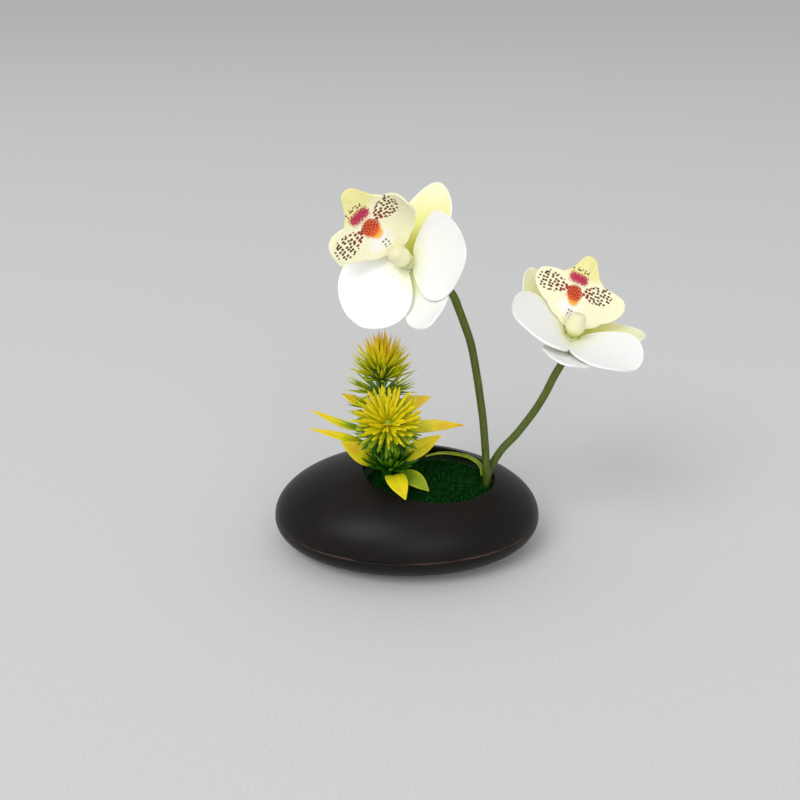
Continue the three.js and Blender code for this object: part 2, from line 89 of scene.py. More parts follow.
def closed_faces(number, ring):
    """Quads between neighbouring rows, and triangles to the single point that closes each end."""
    lower, upper = (number, np.roll(number, -1, 1)) if ring else (number[:, 1:-2], number[:, 2:-1])
    after = lambda rows: np.roll(rows, -1, 2)
    quads = np.stack([lower, after(lower), after(upper), upper], -1).reshape(-1, 4)
    if ring:
        return quads, np.empty((0, 3), int)
    first, second, beforelast = number[:, :1], number[:, 1:2], number[:, -2:-1]
    start = np.stack([np.broadcast_to(first[..., :1], second.shape), after(second), second], -1)
    last = np.broadcast_to(number[:, -1:, :1], beforelast.shape)
    end = np.stack([beforelast, after(beforelast), last], -1)
    return quads, np.concatenate([start.reshape(-1, 3), end.reshape(-1, 3)])


def volume(points, faces):
    """A sixth of the sum, over the triangles of each face, of the box product of its corners."""
    corners = points[faces]
    total = 0
    for i in range(1, faces.shape[1] - 1):
        product = np.cross(corners[:, i], corners[:, i + 1])
        total += np.einsum("ij,ij->", corners[:, 0], product) / 6
    return total


def skin(name, points, ring=False, **facts):
    """A mesh from points[copy, row, column] in millimetres, with each fact kept at its points."""
    vector_axes = points.ndim
    points = points if points.ndim == 4 else points[None]
    shape = points.shape[:3]
    number = np.arange(np.prod(shape)).reshape(shape)
    quads, triangles = closed_faces(number, ring)
    flat = points.reshape(-1, 3) * MM
    if volume(flat, quads) + (volume(flat, triangles) if len(triangles) else 0) < 0:
        quads, triangles = quads[:, ::-1], triangles[:, ::-1]
    used, renumbered = np.unique(np.concatenate([quads.ravel(), triangles.ravel()]), return_inverse=True)
    quads = renumbered[: quads.size].reshape(-1, 4)
    triangles = renumbered[renumbered.size - triangles.size :].reshape(-1, 3)
    mesh = bpy.data.meshes.new(name)
    mesh.from_pydata(flat[used].tolist(), [], quads.tolist() + triangles.tolist())
    for key, value in facts.items():
        value = np.asarray(value, float)
        vector = value.ndim == vector_axes
        value = np.broadcast_to(value, shape + ((3,) if vector else ()))
        attribute = mesh.attributes.new(key, "FLOAT_VECTOR" if vector else "FLOAT", "POINT")
        picked = value.reshape(-1, 3)[used] if vector else value.reshape(-1)[used]
        attribute.data.foreach_set("vector" if vector else "value", picked.ravel())
    mesh.shade_smooth()
    mesh.set_sharp_from_angle(angle=SHARP_CORNER)
    return mesh


# %% [markdown]
# A piece is such a mesh with a finish. It rides on the one body of this object and stands for the
# CAD nodes that it replaces.

# %% Mesh to piece
added = {}


def piece(name, finish, slot, replaced, points, ring=False, **facts):
    """Makes the piece, puts it in the scene and counts its triangles."""
    mesh = skin(name, points, ring, **facts)
    mesh.materials.append(finish)
    made = bpy.data.objects.new(name, mesh)
    bpy.context.scene.collection.objects.link(made)
    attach(made, "root")
    if replaced:
        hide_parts(*replaced)
    added[name] = sum(len(face.vertices) - 2 for face in mesh.polygons)
    return made


# %% [markdown]
# Colours are written as the hex values that a paint chart gives, and turned to the linear values that
# Blender computes with. One small function adds a node: its settings are named, and each input is
# either a value or the node that feeds it.

# %% Colours and nodes
def colour(code):
    """Linear red, green and blue, with full opacity, from an sRGB hex value."""
    parts = np.array([int(code[i : i + 2], 16) / 255 for i in (1, 3, 5)])
    linear = np.where(parts <= 0.04045, parts / 12.92, ((parts + 0.055) / 1.055) ** 2.4)
    return (*linear.tolist(), 1)


def feed(tree, made, inputs):
    """Fills a node's inputs: a node or socket is linked, and anything else is set on the socket."""
    for key, value in inputs.items():
        socket = made.inputs[key]
        if isinstance(value, bpy.types.Node):
            value = next(output for output in value.outputs if output.enabled)
        if isinstance(value, bpy.types.NodeSocket):
            tree.links.new(value, socket)
        else:
            socket.default_value = colour(value) if isinstance(value, str) else value


def add(tree, kind, inputs=None, stops=None, **settings):
    """Adds one shader node with its settings, its inputs and, for a colour ramp, its stops."""
    made = tree.nodes.new("ShaderNode" + kind)
    for key, value in settings.items():
        setattr(made, key, value)
    feed(tree, made, inputs or {})
    if stops:
        ramp = made.color_ramp
        while len(ramp.elements) < len(stops):
            ramp.elements.new(0.5)
        for element, (position, code) in zip(ramp.elements, stops):
            element.position = position
            element.color = colour(code)
    return made


def new_finish(name, **inputs):
    """A material with one principled shader; gives the material, its tree and the shader."""
    material = bpy.data.materials.new(name)
    material.use_nodes = True
    tree = material.node_tree
    tree.nodes.clear()
    shader = add(tree, "BsdfPrincipled", {key.replace("_", " "): value for key, value in inputs.items()})
    add(tree, "OutputMaterial", {"Surface": shader})
    return material, tree, shader


def per(size):
    """The scale that repeats a pattern every so many millimetres of Object coordinates."""
    return 1 / (size * MM)


# %% [markdown]
# The stems, leaves and needles follow routes. A route is a smooth curve through its points (the
# centripetal Catmull-Rom curve that the CAD uses), resampled so that its steps are equally long.

# %% Routes
def unit(vectors):
    return vectors / np.linalg.norm(vectors, axis=-1, keepdims=True)


def route(points, steps):
    """Points at equal steps along the smooth curve. Each span is a cubic whose end slopes come from
    the neighbouring points, weighted by the square roots of the distances between them."""
    points = np.array(points, float)
    padded = np.concatenate([[2 * points[0] - points[1]], points, [2 * points[-1] - points[-2]]])
    part = np.linspace(0, 1, 60, endpoint=False)[:, None]
    spans = []
    for a, b, c, d in zip(padded, padded[1:], padded[2:], padded[3:]):
        before, own, following = (np.sqrt(np.linalg.norm(v)) for v in (b - a, c - b, d - c))
        slope_b = own * ((b - a) / before - (c - a) / (before + own) + (c - b) / own)
        slope_c = own * ((c - b) / own - (d - b) / (own + following) + (d - c) / following)
        cubic = 2 * b - 2 * c + slope_b + slope_c
        square = -3 * b + 3 * c - 2 * slope_b - slope_c
        spans.append(b + slope_b * part + square * part**2 + cubic * part**3)
    dense = np.concatenate([*spans, points[-1:]])
    travelled = np.concatenate([[0], np.cumsum(np.linalg.norm(np.diff(dense, axis=0), axis=1))])
    wanted = np.linspace(0, travelled[-1], steps)
    return np.stack([np.interp(wanted, travelled, axis) for axis in dense.T], -1)


def rounded_end(distance, radius):
    """Falls from 1 to 0 over the last stretch before an end, as the height of a circle does."""
    return np.sqrt(np.clip(1 - (1 - np.clip(distance / radius, 0, 1)) ** 2, 0, 1))


# %% [markdown]
# ## Pot
#
# The pot is a hollow pebble in two shells, moulded in dark brown plastic: the lower one has a flat
# foot, the upper one has an off-centre oval mouth. It could be sculpted from a sphere, but each shell
# is one closed profile carried round the pot, which gives the wall, the rolled rim of the mouth and
# the fine parting line in one go. The profile has its corners eased by a fraction of a millimetre,
# because a moulded edge is never sharp, and that is what draws the parting line.

# %% Pot finish
# Polypropylene, injection moulded against a fine eroded grain: a satin surface that spreads each
# highlight wide, with a faint warm mottle and a hairline of reddish flash along the parting line.
POT_SEAM = 16.1
pot_finish, tree, shader = new_finish("polypropylene, eroded grain", IOR=1.45, Specular_IOR_Level=0.22)
place = add(tree, "TexCoord").outputs["Object"]
mottle = add(tree, "TexNoise", {"Vector": place, "Scale": per(18), "Detail": 4})
body_colour = add(tree, "ValToRGB", {"Fac": mottle}, [(0.3, "#0d0908"), (0.7, "#150f0d")])
height = add(tree, "SeparateXYZ", {"Vector": place}).outputs["Z"]
from_seam = add(tree, "Math", {0: height, 1: (POT_SEAM - 0.15) * MM}, operation="SUBTRACT")
off_seam = add(tree, "Math", {0: from_seam}, operation="ABSOLUTE")
on_seam = add(tree, "Math", {0: off_seam, 1: 0.3 * MM}, operation="LESS_THAN")
patchy = add(tree, "TexNoise", {"Vector": place, "Scale": per(30), "Detail": 2})
shown = add(tree, "MapRange", {"Value": patchy, "From Min": 0.42, "From Max": 0.62})
flash = add(tree, "Math", {0: on_seam, 1: shown}, operation="MULTIPLY")
coloured = add(tree, "MixRGB", {"Fac": flash, "Color1": body_colour, "Color2": "#75584c"})
gloss = add(tree, "MapRange", {"Value": mottle, "To Min": 0.36, "To Max": 0.48})
grain = add(tree, "TexNoise", {"Vector": place, "Scale": per(0.7), "Detail": 2})
orange_peel = add(tree, "TexNoise", {"Vector": place, "Scale": per(7), "Detail": 1})
fine = add(tree, "Bump", {"Height": grain, "Strength": 0.25, "Distance": 0.05 * MM})
waved = add(tree, "Bump", {"Height": orange_peel, "Strength": 0.3, "Distance": 0.15 * MM, "Normal": fine})
feed(tree, shader, {"Base Color": coloured, "Roughness": gloss, "Normal": waved})
print("pot grain in millimetres:", 0.7)

# %% Upper shell
POT_HALF = np.array([70, 52])
MOUTH_CENTRE = np.array([11, -5.5])
MOUTH_HALF = np.array([34, 27.5])
DOME_RISE = 31.5
WALL = 2
ROLL = 0.9
TURNS = 216


def full_turn(columns):
    return np.linspace(0, 2 * np.pi, columns, endpoint=False)


def dome(inwards, depth):
    """A half ellipsoid, seen from above as a blend of two ovals: the outline at the seam and the
    mouth. The height is the ellipsoid's over that point, and depth shrinks the ellipsoid."""
    turn = full_turn(TURNS)[None, :, None]
    circle = np.concatenate([np.cos(turn), np.sin(turn)], -1)
    inwards, depth = inwards[:, None, None], depth[:, None, None]
    half = POT_HALF - depth
    plan = half * circle * (1 - inwards) + (MOUTH_CENTRE + MOUTH_HALF * circle) * inwards
    reach = np.clip(((plan / half) ** 2).sum(-1, keepdims=True), 0, 1)
    return np.concatenate([plan, POT_SEAM + (DOME_RISE - depth) * np.sqrt(1 - reach)], -1)


climb = np.linspace(0, 1, 44)[1:] ** 1.8 * 0.96
lip_turn = np.linspace(0, np.pi / 2, 8)[1:]
outside = np.stack([climb, np.zeros_like(climb)])
roll_out = np.stack([0.96 + 0.04 * np.sin(lip_turn), ROLL * (1 - np.cos(lip_turn))])
roll_in = np.stack([0.96 + 0.04 * np.cos(lip_turn), WALL + ROLL + 0 * lip_turn])
inside = np.stack([climb[::-1], WALL + 0 * climb])
seam_edge = np.array([[0, 0, 0, 0], [WALL, WALL - 0.3, 0.3, 0]])
seam_edge[0] = [0.002, 0, 0, 0.002]
profile = np.concatenate([seam_edge, outside, roll_out, roll_in, inside], 1)
upper_points = dome(profile[0], profile[1])
piece("pot_dome", pot_finish, "pot_plastic", ["pot_upper_shell"], upper_points, ring=True)
print("upper shell height range in millimetres:", upper_points[..., 2].min(), upper_points[..., 2].max())

# %% Lower shell
FOOT_INSET = 25
SEAM_GAP = 0.35
TONGUE_INSET, TONGUE_THICK, TONGUE_TOP, TONGUE_FOOT = 2.9, 1.5, 19, 10.2


def foot_curve(bottom, wall_radius, top, steps=28):
    """A quarter ellipse from the edge of the flat foot up to the side wall."""
    turn = np.linspace(0, np.pi / 2, steps)
    foot = POT_HALF[1] - FOOT_INSET
    radius = foot + (wall_radius - foot) * np.sin(turn)
    return np.stack([radius, bottom + (top - bottom) * (1 - np.cos(turn))])


def oval(profile):
    """Carries a profile of radius and height round the pot. Outside its foot the plan is a circle
    pushed apart along X by the same amount everywhere, so that the wall keeps its thickness."""
    radius, height = profile[0][:, None], profile[1][:, None]
    turn = full_turn(TURNS)[None]
    foot = POT_HALF[1] - FOOT_INSET
    longer = radius + (POT_HALF[0] - POT_HALF[1]) * np.clip(radius / foot, 0, 1)
    flat = height + 0 * turn
    return np.stack([longer * np.cos(turn), radius * np.sin(turn), flat], -1)


rim = POT_SEAM - SEAM_GAP
tongue_out = POT_HALF[1] - TONGUE_INSET
tongue_in = tongue_out - TONGUE_THICK
ease = 0.25
floor_rings = np.stack([np.linspace(0, POT_HALF[1] - FOOT_INSET, 10)[:-1], np.zeros(9)])
outer = foot_curve(0, POT_HALF[1], rim - ease)
step = np.array([[POT_HALF[1] - ease, tongue_out, tongue_out, tongue_out - ease, tongue_in, tongue_in],
                 [rim, rim, TONGUE_TOP - ease, TONGUE_TOP, TONGUE_TOP, TONGUE_FOOT]])
inner = foot_curve(WALL, POT_HALF[1] - WALL, POT_SEAM)
inner = inner[:, inner[0] < tongue_in][:, ::-1]
inner_floor = np.array([[POT_HALF[1] / 3, 0], [WALL, WALL]])
lower_points = oval(np.concatenate([floor_rings, outer, step, inner, inner_floor], 1))
piece("pot_base", pot_finish, "pot_plastic", ["pot_lower_shell"], lower_points)
print("base width in millimetres:", np.ptp(lower_points[..., 0]))

# %% [markdown]
# ## Filling
#
# Out of sight, a poured plaster weight keeps the pot steady and a foam block holds the stems. Both are
# right as the CAD has them, so they only get their finishes: chalky plaster with small air holes, and
# the open cells of dry flower foam. The steel wires inside the flower stems are drawn wire.

# %% Plaster, foam and wire
plaster_finish, tree, shader = new_finish("gypsum plaster, poured", IOR=1.52, Roughness=0.9)
place = add(tree, "TexCoord").outputs["Object"]
cloud = add(tree, "TexNoise", {"Vector": place, "Scale": per(9), "Detail": 5})
pores = add(tree, "TexVoronoi", {"Vector": place, "Scale": per(3)})
pitted = add(tree, "MapRange", {"Value": pores.outputs["Distance"], "From Min": 0.05, "From Max": 0.2})
tint = add(tree, "ValToRGB", {"Fac": cloud}, [(0.3, "#cfcabf"), (0.7, "#e2dfd6")])
pit = add(tree, "Bump", {"Height": pitted, "Strength": 0.6, "Distance": 0.4 * MM})
feed(tree, shader, {"Base Color": tint, "Normal": pit})

foam_finish, tree, shader = new_finish("phenolic flower foam, cut", IOR=1.5, Roughness=0.95)
place = add(tree, "TexCoord").outputs["Object"]
cells = add(tree, "TexVoronoi", {"Vector": place, "Scale": per(0.9)})
tint = add(tree, "ValToRGB", {"Fac": cells.outputs["Distance"]}, [(0.1, "#35502f"), (0.6, "#58764d")])
open_cells = add(tree, "Bump", {"Height": cells.outputs["Distance"], "Strength": 0.7, "Distance": 0.3 * MM})
feed(tree, shader, {"Base Color": tint, "Normal": open_cells})

wire_finish, tree, shader = new_finish("steel wire, drawn", Metallic=1)
place = add(tree, "TexCoord").outputs["Object"]
drawn = add(tree, "Mapping", {"Vector": place, "Scale": (per(0.15), per(0.15), per(8))})
lines = add(tree, "TexNoise", {"Vector": drawn, "Scale": 1, "Detail": 2})
tint = add(tree, "ValToRGB", {"Fac": lines}, [(0.3, "#77797b"), (0.7, "#9c9ea0")])
scored = add(tree, "MapRange", {"Value": lines, "To Min": 0.25, "To Max": 0.5})
feed(tree, shader, {"Base Color": tint, "Roughness": scored})

hidden = {
    "plaster_weight": plaster_finish,
    "foam_block": foam_finish,
    "orchid_a_stem_wire": wire_finish,
    "orchid_b_stem_wire": wire_finish,
}
for node_name, finish in hidden.items():
    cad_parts[node_name].material_slots[0].material = finish
print("CAD pieces kept out of sight:", len(hidden))

# %% [markdown]
# ## Moss
#
# The mouth is closed by a mat of preserved-looking moss: short, very dark green fibres, as dense as
# velvet. A particle system could grow them, but a plain surface is easier to follow: thousands of
# small three-sided spikes stand on the mat, each leaning its own way, and the pile is higher on soft
# mounds. The mat under them stays the CAD's, because it already has a hole for every stem.

# %% Moss finish
# Nylon flock, dyed and chopped: matt, dark green, with the odd bright fibre. Each fibre is painted near
# black towards its root: painted shade deep in the pile.
moss_finish, tree, shader = new_finish("nylon flock, chopped", IOR=1.53, Roughness=0.9,
                                       Specular_IOR_Level=0.08)
fibre = add(tree, "Attribute", attribute_name="fibre").outputs["Fac"]
tip = add(tree, "Attribute", attribute_name="along").outputs["Fac"]
dyed = add(tree, "ValToRGB", {"Fac": fibre},
           [(0, "#022604"), (0.55, "#064a09"), (0.88, "#14761c"), (1, "#4fae5a")])
# Painted shade: the colour falls to near black at each fibre's foot, where the pile shades it.
shaded_at_root = add(tree, "MixRGB", {"Fac": tip, "Color1": "#021205", "Color2": dyed})
feed(tree, shader, {"Base Color": shaded_at_root})

mat_finish, tree, shader = new_finish("nylon flock, backing", IOR=1.53, Roughness=0.95,
                                      Specular_IOR_Level=0.08)
place = add(tree, "TexCoord").outputs["Object"]
tufts = add(tree, "TexNoise", {"Vector": place, "Scale": per(1.2), "Detail": 4})
tint = add(tree, "ValToRGB", {"Fac": tufts}, [(0.35, "#021405"), (0.7, "#0a3010")])
rough_top = add(tree, "Bump", {"Height": tufts, "Strength": 0.8, "Distance": 0.6 * MM})
feed(tree, shader, {"Base Color": tint, "Normal": rough_top})
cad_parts["moss_mat"].material_slots[0].material = mat_finish
print("moss dyed in stops:", 4)

# %% Moss pile
MOSS_EDGE, MOSS_CROWN = 35.5, 38.2
FIBRES = 15000
pile = np.random.default_rng(7)
STEM_FEET = np.array([[41.4, -7.6, 2.3], [42.1, -3, 2.3], [-12, -2, 1.6], [-9.2, -8.5, 1.6], [40, 2.4, 1.5]])


def moss_spikes():
    """Each spike is a foot, a ring of three points a third of the way up and a tip. Feet are spread
    evenly over an oval by taking the square root of an even random number as the reach."""
    reach = np.sqrt(pile.random(FIBRES)) * 0.975
    turn = pile.random(FIBRES) * 2 * np.pi
    plan = MOUTH_CENTRE + MOUTH_HALF * reach[:, None] * np.stack([np.cos(turn), np.sin(turn)], -1)
    away = np.linalg.norm(plan[:, None] - STEM_FEET[:, :2], axis=-1) - STEM_FEET[:, 2]
    kept = (away > 0).all(1)
    plan, reach = plan[kept], reach[kept]
    count = len(plan)
    mounds = np.sin(plan[:, 0] / 3.1) * np.sin(plan[:, 1] / 2.7 + 1) + np.sin((plan[:, 0] + plan[:, 1]) / 5)
    level = MOSS_CROWN + (MOSS_EDGE - MOSS_CROWN) * reach**2 - 0.35
    tall = 1.15 + 0.22 * mounds + 0.45 * pile.random(count)
    lean = np.concatenate([pile.normal(0, 0.42, (count, 2)), np.ones((count, 1))], 1)
    foot = np.concatenate([plan, level[:, None]], 1)
    tips = foot + unit(lean) * tall[:, None]
    corner = full_turn(3)[None] + pile.random((count, 1)) * 2
    thick = (0.13 + 0.06 * pile.random((count, 1)))
    ring = np.stack([np.cos(corner) * thick, np.sin(corner) * thick, 0 * corner], -1)
    middle = (foot + (tips - foot) / 3)[:, None] + ring
    rows = [np.repeat(foot[:, None], 3, 1), middle, np.repeat(tips[:, None], 3, 1)]
    shade = np.broadcast_to(pile.random((count, 1, 1)), (count, 3, 3))
    rise = np.broadcast_to(np.array([0, 0.35, 1])[None, :, None], (count, 3, 3))
    return np.stack(rows, 1), shade, rise


spikes, shade, rise = moss_spikes()
piece("moss_pile", moss_finish, "moss_flock", [], spikes, fibre=shade, along=rise)
print("moss fibres:", len(spikes))

# %% [markdown]
# ## Orchids
#
# Each flower has two round white petals, a white dorsal sepal, two yellow side sepals, a printed lip
# and a short column, all plugged into a green hub. Both flowers come from the same moulds, so they
# share their shapes, and only the way each tepal was bent differs. A flower has its own frame: X to
# the dorsal sepal, Y across, Z out of its face, and a small class keeps it.

# %% Flower frames
class Flower:
    """A flower's centre and its three directions; world() takes points in its frame, in
    millimetres, to their place: the centre plus each coordinate times its direction."""

    def __init__(self, name, centre, facing, dorsal):
        self.name = name
        self.centre = np.array(centre, float)
        out = unit(np.array(facing, float))
        side = unit(np.cross(out, np.array(dorsal, float)))
        self.axes = np.array([np.cross(side, out), side, out])

    def world(self, points):
        return self.centre + points @ self.axes


ORCHIDS = {
    "orchid_a": {
        "frame": ([1.5, -8, 154.2], [-0.53, -0.62, 0.58], [0.28, -0.78, -0.56]),
        "petal_right": (54.9, 9.1, 22.9, 16.8),
        "petal_left": (-68.6, 16.1, -12.5, -17.1),
        "dorsal_sepal": (1.2, -13.4, 42.7, 2),
        "sepal_right": (143.8, -12.7, 0.5, 11.8),
        "sepal_left": (-134.2, 23.8, 3.8, -0.8),
        "lip": (26.6, 26, 11.6, 4),
        "lip_bends": (0.009, 0.053, 0.6),
    },
    "orchid_b": {
        "frame": ([80.2, 0, 111.6], [0.22, -0.13, 0.97], [-0.11, -0.99, -0.11]),
        "petal_right": (51, 14.8, -4.9, 6.7),
        "petal_left": (-62.8, 26, 11, -14.5),
        "dorsal_sepal": (-8.7, 1.9, 22.1, -1.9),
        "sepal_right": (119.5, 10.2, 3.1, -2.1),
        "sepal_left": (-135.6, 16, 48, -3.9),
        "lip": (39.5, 23.8, 18.3, -4.1),
        "lip_bends": (-0.007, 0.007, 0.9),
    },
}
flowers = {name: Flower(name, *spec["frame"]) for name, spec in ORCHIDS.items()}
print("flowers:", ", ".join(flowers))

# %% [markdown]
# A tepal is a sheet a millimetre thick with a full, rounded edge. Its section is a flat loop: straight
# across the front, round the edge, straight back, round the other edge. That loop is carried along an
# arc from the claw to the tip while its width swells and closes, and both ends round off to a point.
# Moulded veins, a soft midrib and a bead along the margin are part of the shape.

# %% Flat section
def flat_loop(across, round_off):
    """Three numbers for each point of a flat loop: how far it is across the straight part from -1
    to 1, how far it bulges past the straight part, and its lift from the middle plane."""
    straight = np.linspace(-1, 1, across)
    turn = np.linspace(np.pi / 2, -np.pi / 2, round_off + 2)[1:-1]
    ends = np.ones(round_off)
    flat = np.concatenate([straight, ends, -straight, -ends])
    bulge = np.concatenate([0 * straight, np.cos(turn), 0 * straight, -np.cos(turn)])
    lift = np.concatenate([1 + 0 * straight, np.sin(turn), -1 + 0 * straight, -np.sin(turn)])
    return flat, bulge, lift


TEPAL_ACROSS, TEPAL_EDGE, TEPAL_ROWS = 41, 7, 58
flat, bulge, lift = flat_loop(TEPAL_ACROSS, TEPAL_EDGE)
print("points in a tepal's section:", len(flat))

# %% Tepals
PETAL = {"length": 35.7, "width": 38, "skew": 0, "thick": 1, "lift": 2, "tip": 0.5, "vein": 0.03}
SEPAL = {"length": 42, "width": 21.5, "skew": -0.15, "thick": 0.9, "lift": 0, "tip": 0.58, "vein": 0.07}
CLAW_HALF, CLAW_START, FULLNESS, CUP, HALF_TIP = 2.8, 3.2, 0.72, 0.12, 0.8
MIDRIB_DEEP, MIDRIB_WIDE = 0.22, 1.1
BEAD_HIGH, BEAD_WIDE = 0.16, 0.9
WAVE_HIGH, VEIN_WAVES = 0.45, 26


def tepal(kind, round_flower, foot, tip, twist, wave):
    """The midrib is a circular arc that leaves the flower's plane at the foot angle and ends at the
    tip angle. The half width is a claw that fades out plus a power of a sine, blunter towards the
    tip. The edges cup forwards by the square of the distance across, and a slow wave lifts them by
    the cube of it."""
    around, start, turn = np.radians([round_flower, foot, twist])
    outwards = np.array([np.cos(around), np.sin(around), 0])
    sideways = np.array([-outwards[1], outwards[0], 0])
    along = ((1 - np.cos(np.linspace(0, np.pi, TEPAL_ROWS))) / 2)[:, None]
    turning = (np.radians(tip) - start) / kind["length"]
    angle = start + turning * kind["length"] * along
    reach = (np.sin(angle) - np.sin(start)) / turning + CLAW_START * np.cos(start)
    height = (np.cos(start) - np.cos(angle)) / turning + CLAW_START * np.sin(start) + kind["lift"]
    fullness = FULLNESS + (kind["tip"] - FULLNESS) * along
    fill = np.clip(np.sin(np.pi * along), 0, 1) ** fullness * (1 + kind["skew"] * np.cos(np.pi * along))
    half = np.maximum(HALF_TIP, CLAW_HALF * (1 - along) + kind["width"] / 2 * fill)
    closing = rounded_end(along * kind["length"], 0.7) * rounded_end((1 - along) * kind["length"], 0.7)
    radius = kind["thick"] / 2 * closing
    straight = np.maximum(half * closing - radius, 0)
    off = -(flat * straight + bulge * radius)
    across = off / np.maximum(half, 1e-6)
    margin = half - np.abs(off)
    inner = np.sin(np.pi * along) ** 0.5
    ripple = np.cos(across * VEIN_WAVES + 1.5 * np.sin(along * 5))
    veins = kind["vein"] * ripple * inner * (1 - np.abs(across) ** 6)
    midrib = -MIDRIB_DEEP * np.exp(-((off / MIDRIB_WIDE) ** 2)) * (1 - along) * inner
    bead = BEAD_HIGH * np.exp(-((margin / BEAD_WIDE) ** 2)) * closing
    waved = WAVE_HIGH * np.abs(across) ** 3 * np.sin(along * 9 + wave + 2 * np.sign(off)) * inner
    rise = CUP * half * across**2 + lift * (radius + bead) + waved + midrib + veins
    normal = np.cos(angle)[..., None] * np.array([0, 0, 1.0]) - np.sin(angle)[..., None] * outwards
    points = reach[..., None] * outwards + height[..., None] * np.array([0, 0, 1.0])
    twisted = (off * np.sin(turn) + rise)[..., None] * normal
    points = points + (off * np.cos(turn))[..., None] * sideways + twisted
    rim_distance = np.minimum(margin, (1 - along) * kind["length"])
    facts = {"along": along + 0 * off, "across": off, "rim": rim_distance, "face": lift + 0 * off}
    return points, facts


trial, facts = tepal(PETAL, 0, 10, 20, 0, 0)
print("petal width in millimetres:", round(float(np.ptp(trial[..., 1])), 1))

# %% [markdown]
# The petals are soft sheet, pressed in a heated mould and dyed by hand. That gives a matt white with
# a silky bloom, a little light passing through, and colour that was brushed on from the claw. The
# brushing is a ramp over the distance along the tepal, broken up by noise, and the yellow sepals keep
# a white margin a millimetre or so wide. The deepest yellow at the sepals' claw is partly painted
# shade. The white petals and the dorsal sepal get a margin a touch whiter than the rest: a painted
# highlight along the rim.

# %% Petal and sepal finishes
def pressed_finish(name, stops, margin_and_rim_highlight, margin_width):
    """Pressed soft sheet: a ramp from claw to tip, a margin colour and fine veins. On white sheet the
    margin is a painted highlight along the rim, and on yellow sheet it is a real white margin.
    """
    material, tree, shader = new_finish(name, IOR=1.45, Roughness=0.55, Subsurface_Weight=0.12,
                                        Subsurface_Radius=(0.9, 0.9, 0.6), Subsurface_Scale=1.2 * MM,
                                        Sheen_Weight=0.08, Sheen_Roughness=0.4)
    place = add(tree, "TexCoord").outputs["Object"]
    along = add(tree, "Attribute", attribute_name="along").outputs["Fac"]
    across = add(tree, "Attribute", attribute_name="across").outputs["Fac"]
    rim = add(tree, "Attribute", attribute_name="rim").outputs["Fac"]
    brushed = add(tree, "TexNoise", {"Vector": place, "Scale": per(6), "Detail": 4})
    shift = add(tree, "MapRange", {"Value": brushed, "To Min": -0.08, "To Max": 0.08})
    dyed_at = add(tree, "Math", {0: along, 1: shift}, operation="ADD")
    dye = add(tree, "ValToRGB", {"Fac": dyed_at}, stops)
    edge = add(tree, "MapRange", {"Value": rim, "From Min": 0.3 * margin_width,
                                  "From Max": 1.7 * margin_width})
    edge.interpolation_type = "SMOOTHSTEP"
    # On the white tepals the margin colour is a painted highlight along the rim; on the yellow sepals it is
    # their white margin.
    tint = add(tree, "MixRGB", {"Fac": edge, "Color1": margin_and_rim_highlight, "Color2": dye})
    streak_place = add(tree, "CombineXYZ", {"X": across, "Y": along})
    streaks = add(tree, "Mapping", {"Vector": streak_place, "Scale": (1.6, 3, 1)})
    veins = add(tree, "TexNoise", {"Vector": streaks, "Scale": 1, "Detail": 3})
    pressed = add(tree, "Bump", {"Height": veins, "Strength": 0.25, "Distance": 0.2 * MM})
    bloom = add(tree, "TexNoise", {"Vector": place, "Scale": per(0.6), "Detail": 2})
    silky = add(tree, "Bump", {"Height": bloom, "Strength": 0.12, "Distance": 0.06 * MM, "Normal": pressed})
    feed(tree, shader, {"Base Color": tint, "Normal": silky})
    return material


WHITE_DYE = [(0, "#e3e6b0"), (0.12, "#f1f2e0"), (0.3, "#f8f8f5"), (1, "#f8f8f6")]
# The sepals' yellow is their dye; the darkest, deepest yellow at the claw is partly painted shade.
YELLOW_DYE_AND_CLAW_SHADE = [(0, "#bfc040"), (0.2, "#d3d054"), (0.5, "#ebe88e"), (0.85, "#f6f4c8")]
CLAW_DYE = [(0, "#dde08a"), (0.22, "#eef0c2"), (0.4, "#f8f8f2"), (1, "#f8f8f6")]
petal_finish = pressed_finish("soft sheet, pressed white", WHITE_DYE, "#fbfbf9", 0.8)
sepal_finish = pressed_finish("soft sheet, dyed yellow", YELLOW_DYE_AND_CLAW_SHADE, "#f8f8e6", 1.1)
dorsal_finish = pressed_finish("soft sheet, dyed at the claw", CLAW_DYE, "#fbfbf9", 1)
print("pressed finishes:", [made.name for made in (petal_finish, sepal_finish, dorsal_finish)])

# %% Tepals in place
TEPALS = {
    "petal_right": (PETAL, petal_finish, "petal_white", 0.4),
    "petal_left": (PETAL, petal_finish, "petal_white", 2.1),
    "dorsal_sepal": (SEPAL, dorsal_finish, "petal_white", 3.2),
    "sepal_right": (SEPAL, sepal_finish, "sepal_yellow", 1.3),
    "sepal_left": (SEPAL, sepal_finish, "sepal_yellow", 4.4),
}
for name, flower in flowers.items():
    for part, (kind, finish, slot, wave) in TEPALS.items():
        points, facts = tepal(kind, *ORCHIDS[name][part], wave)
        made_name = f"{name}_{part}_pressed"
        piece(made_name, finish, slot, [f"{name}_{part}"], flower.world(points), **facts)
print("triangles in one tepal:", added["orchid_a_petal_right_pressed"])

# %% [markdown]
# ## Lip
#
# The lip is one moulding: a neck, two broad side lobes and a blunt midlobe, printed with a crimson
# blotch, bands of dark spots and a red and orange throat. Seen from the throat its outline is a single
# radius for each direction, so the surface is a wheel: spokes from the throat to the edge, round the
# edge and back behind. The print keeps its own plane coordinates in an attribute, so that spots stay
# round on the curved lobes, and soft masks for each printed area are worked out with the points.
# Two of the masks paint light instead of print: a whiter patch towards the neck is a painted highlight, and
# the midlobe's deeper yellow is painted shade.

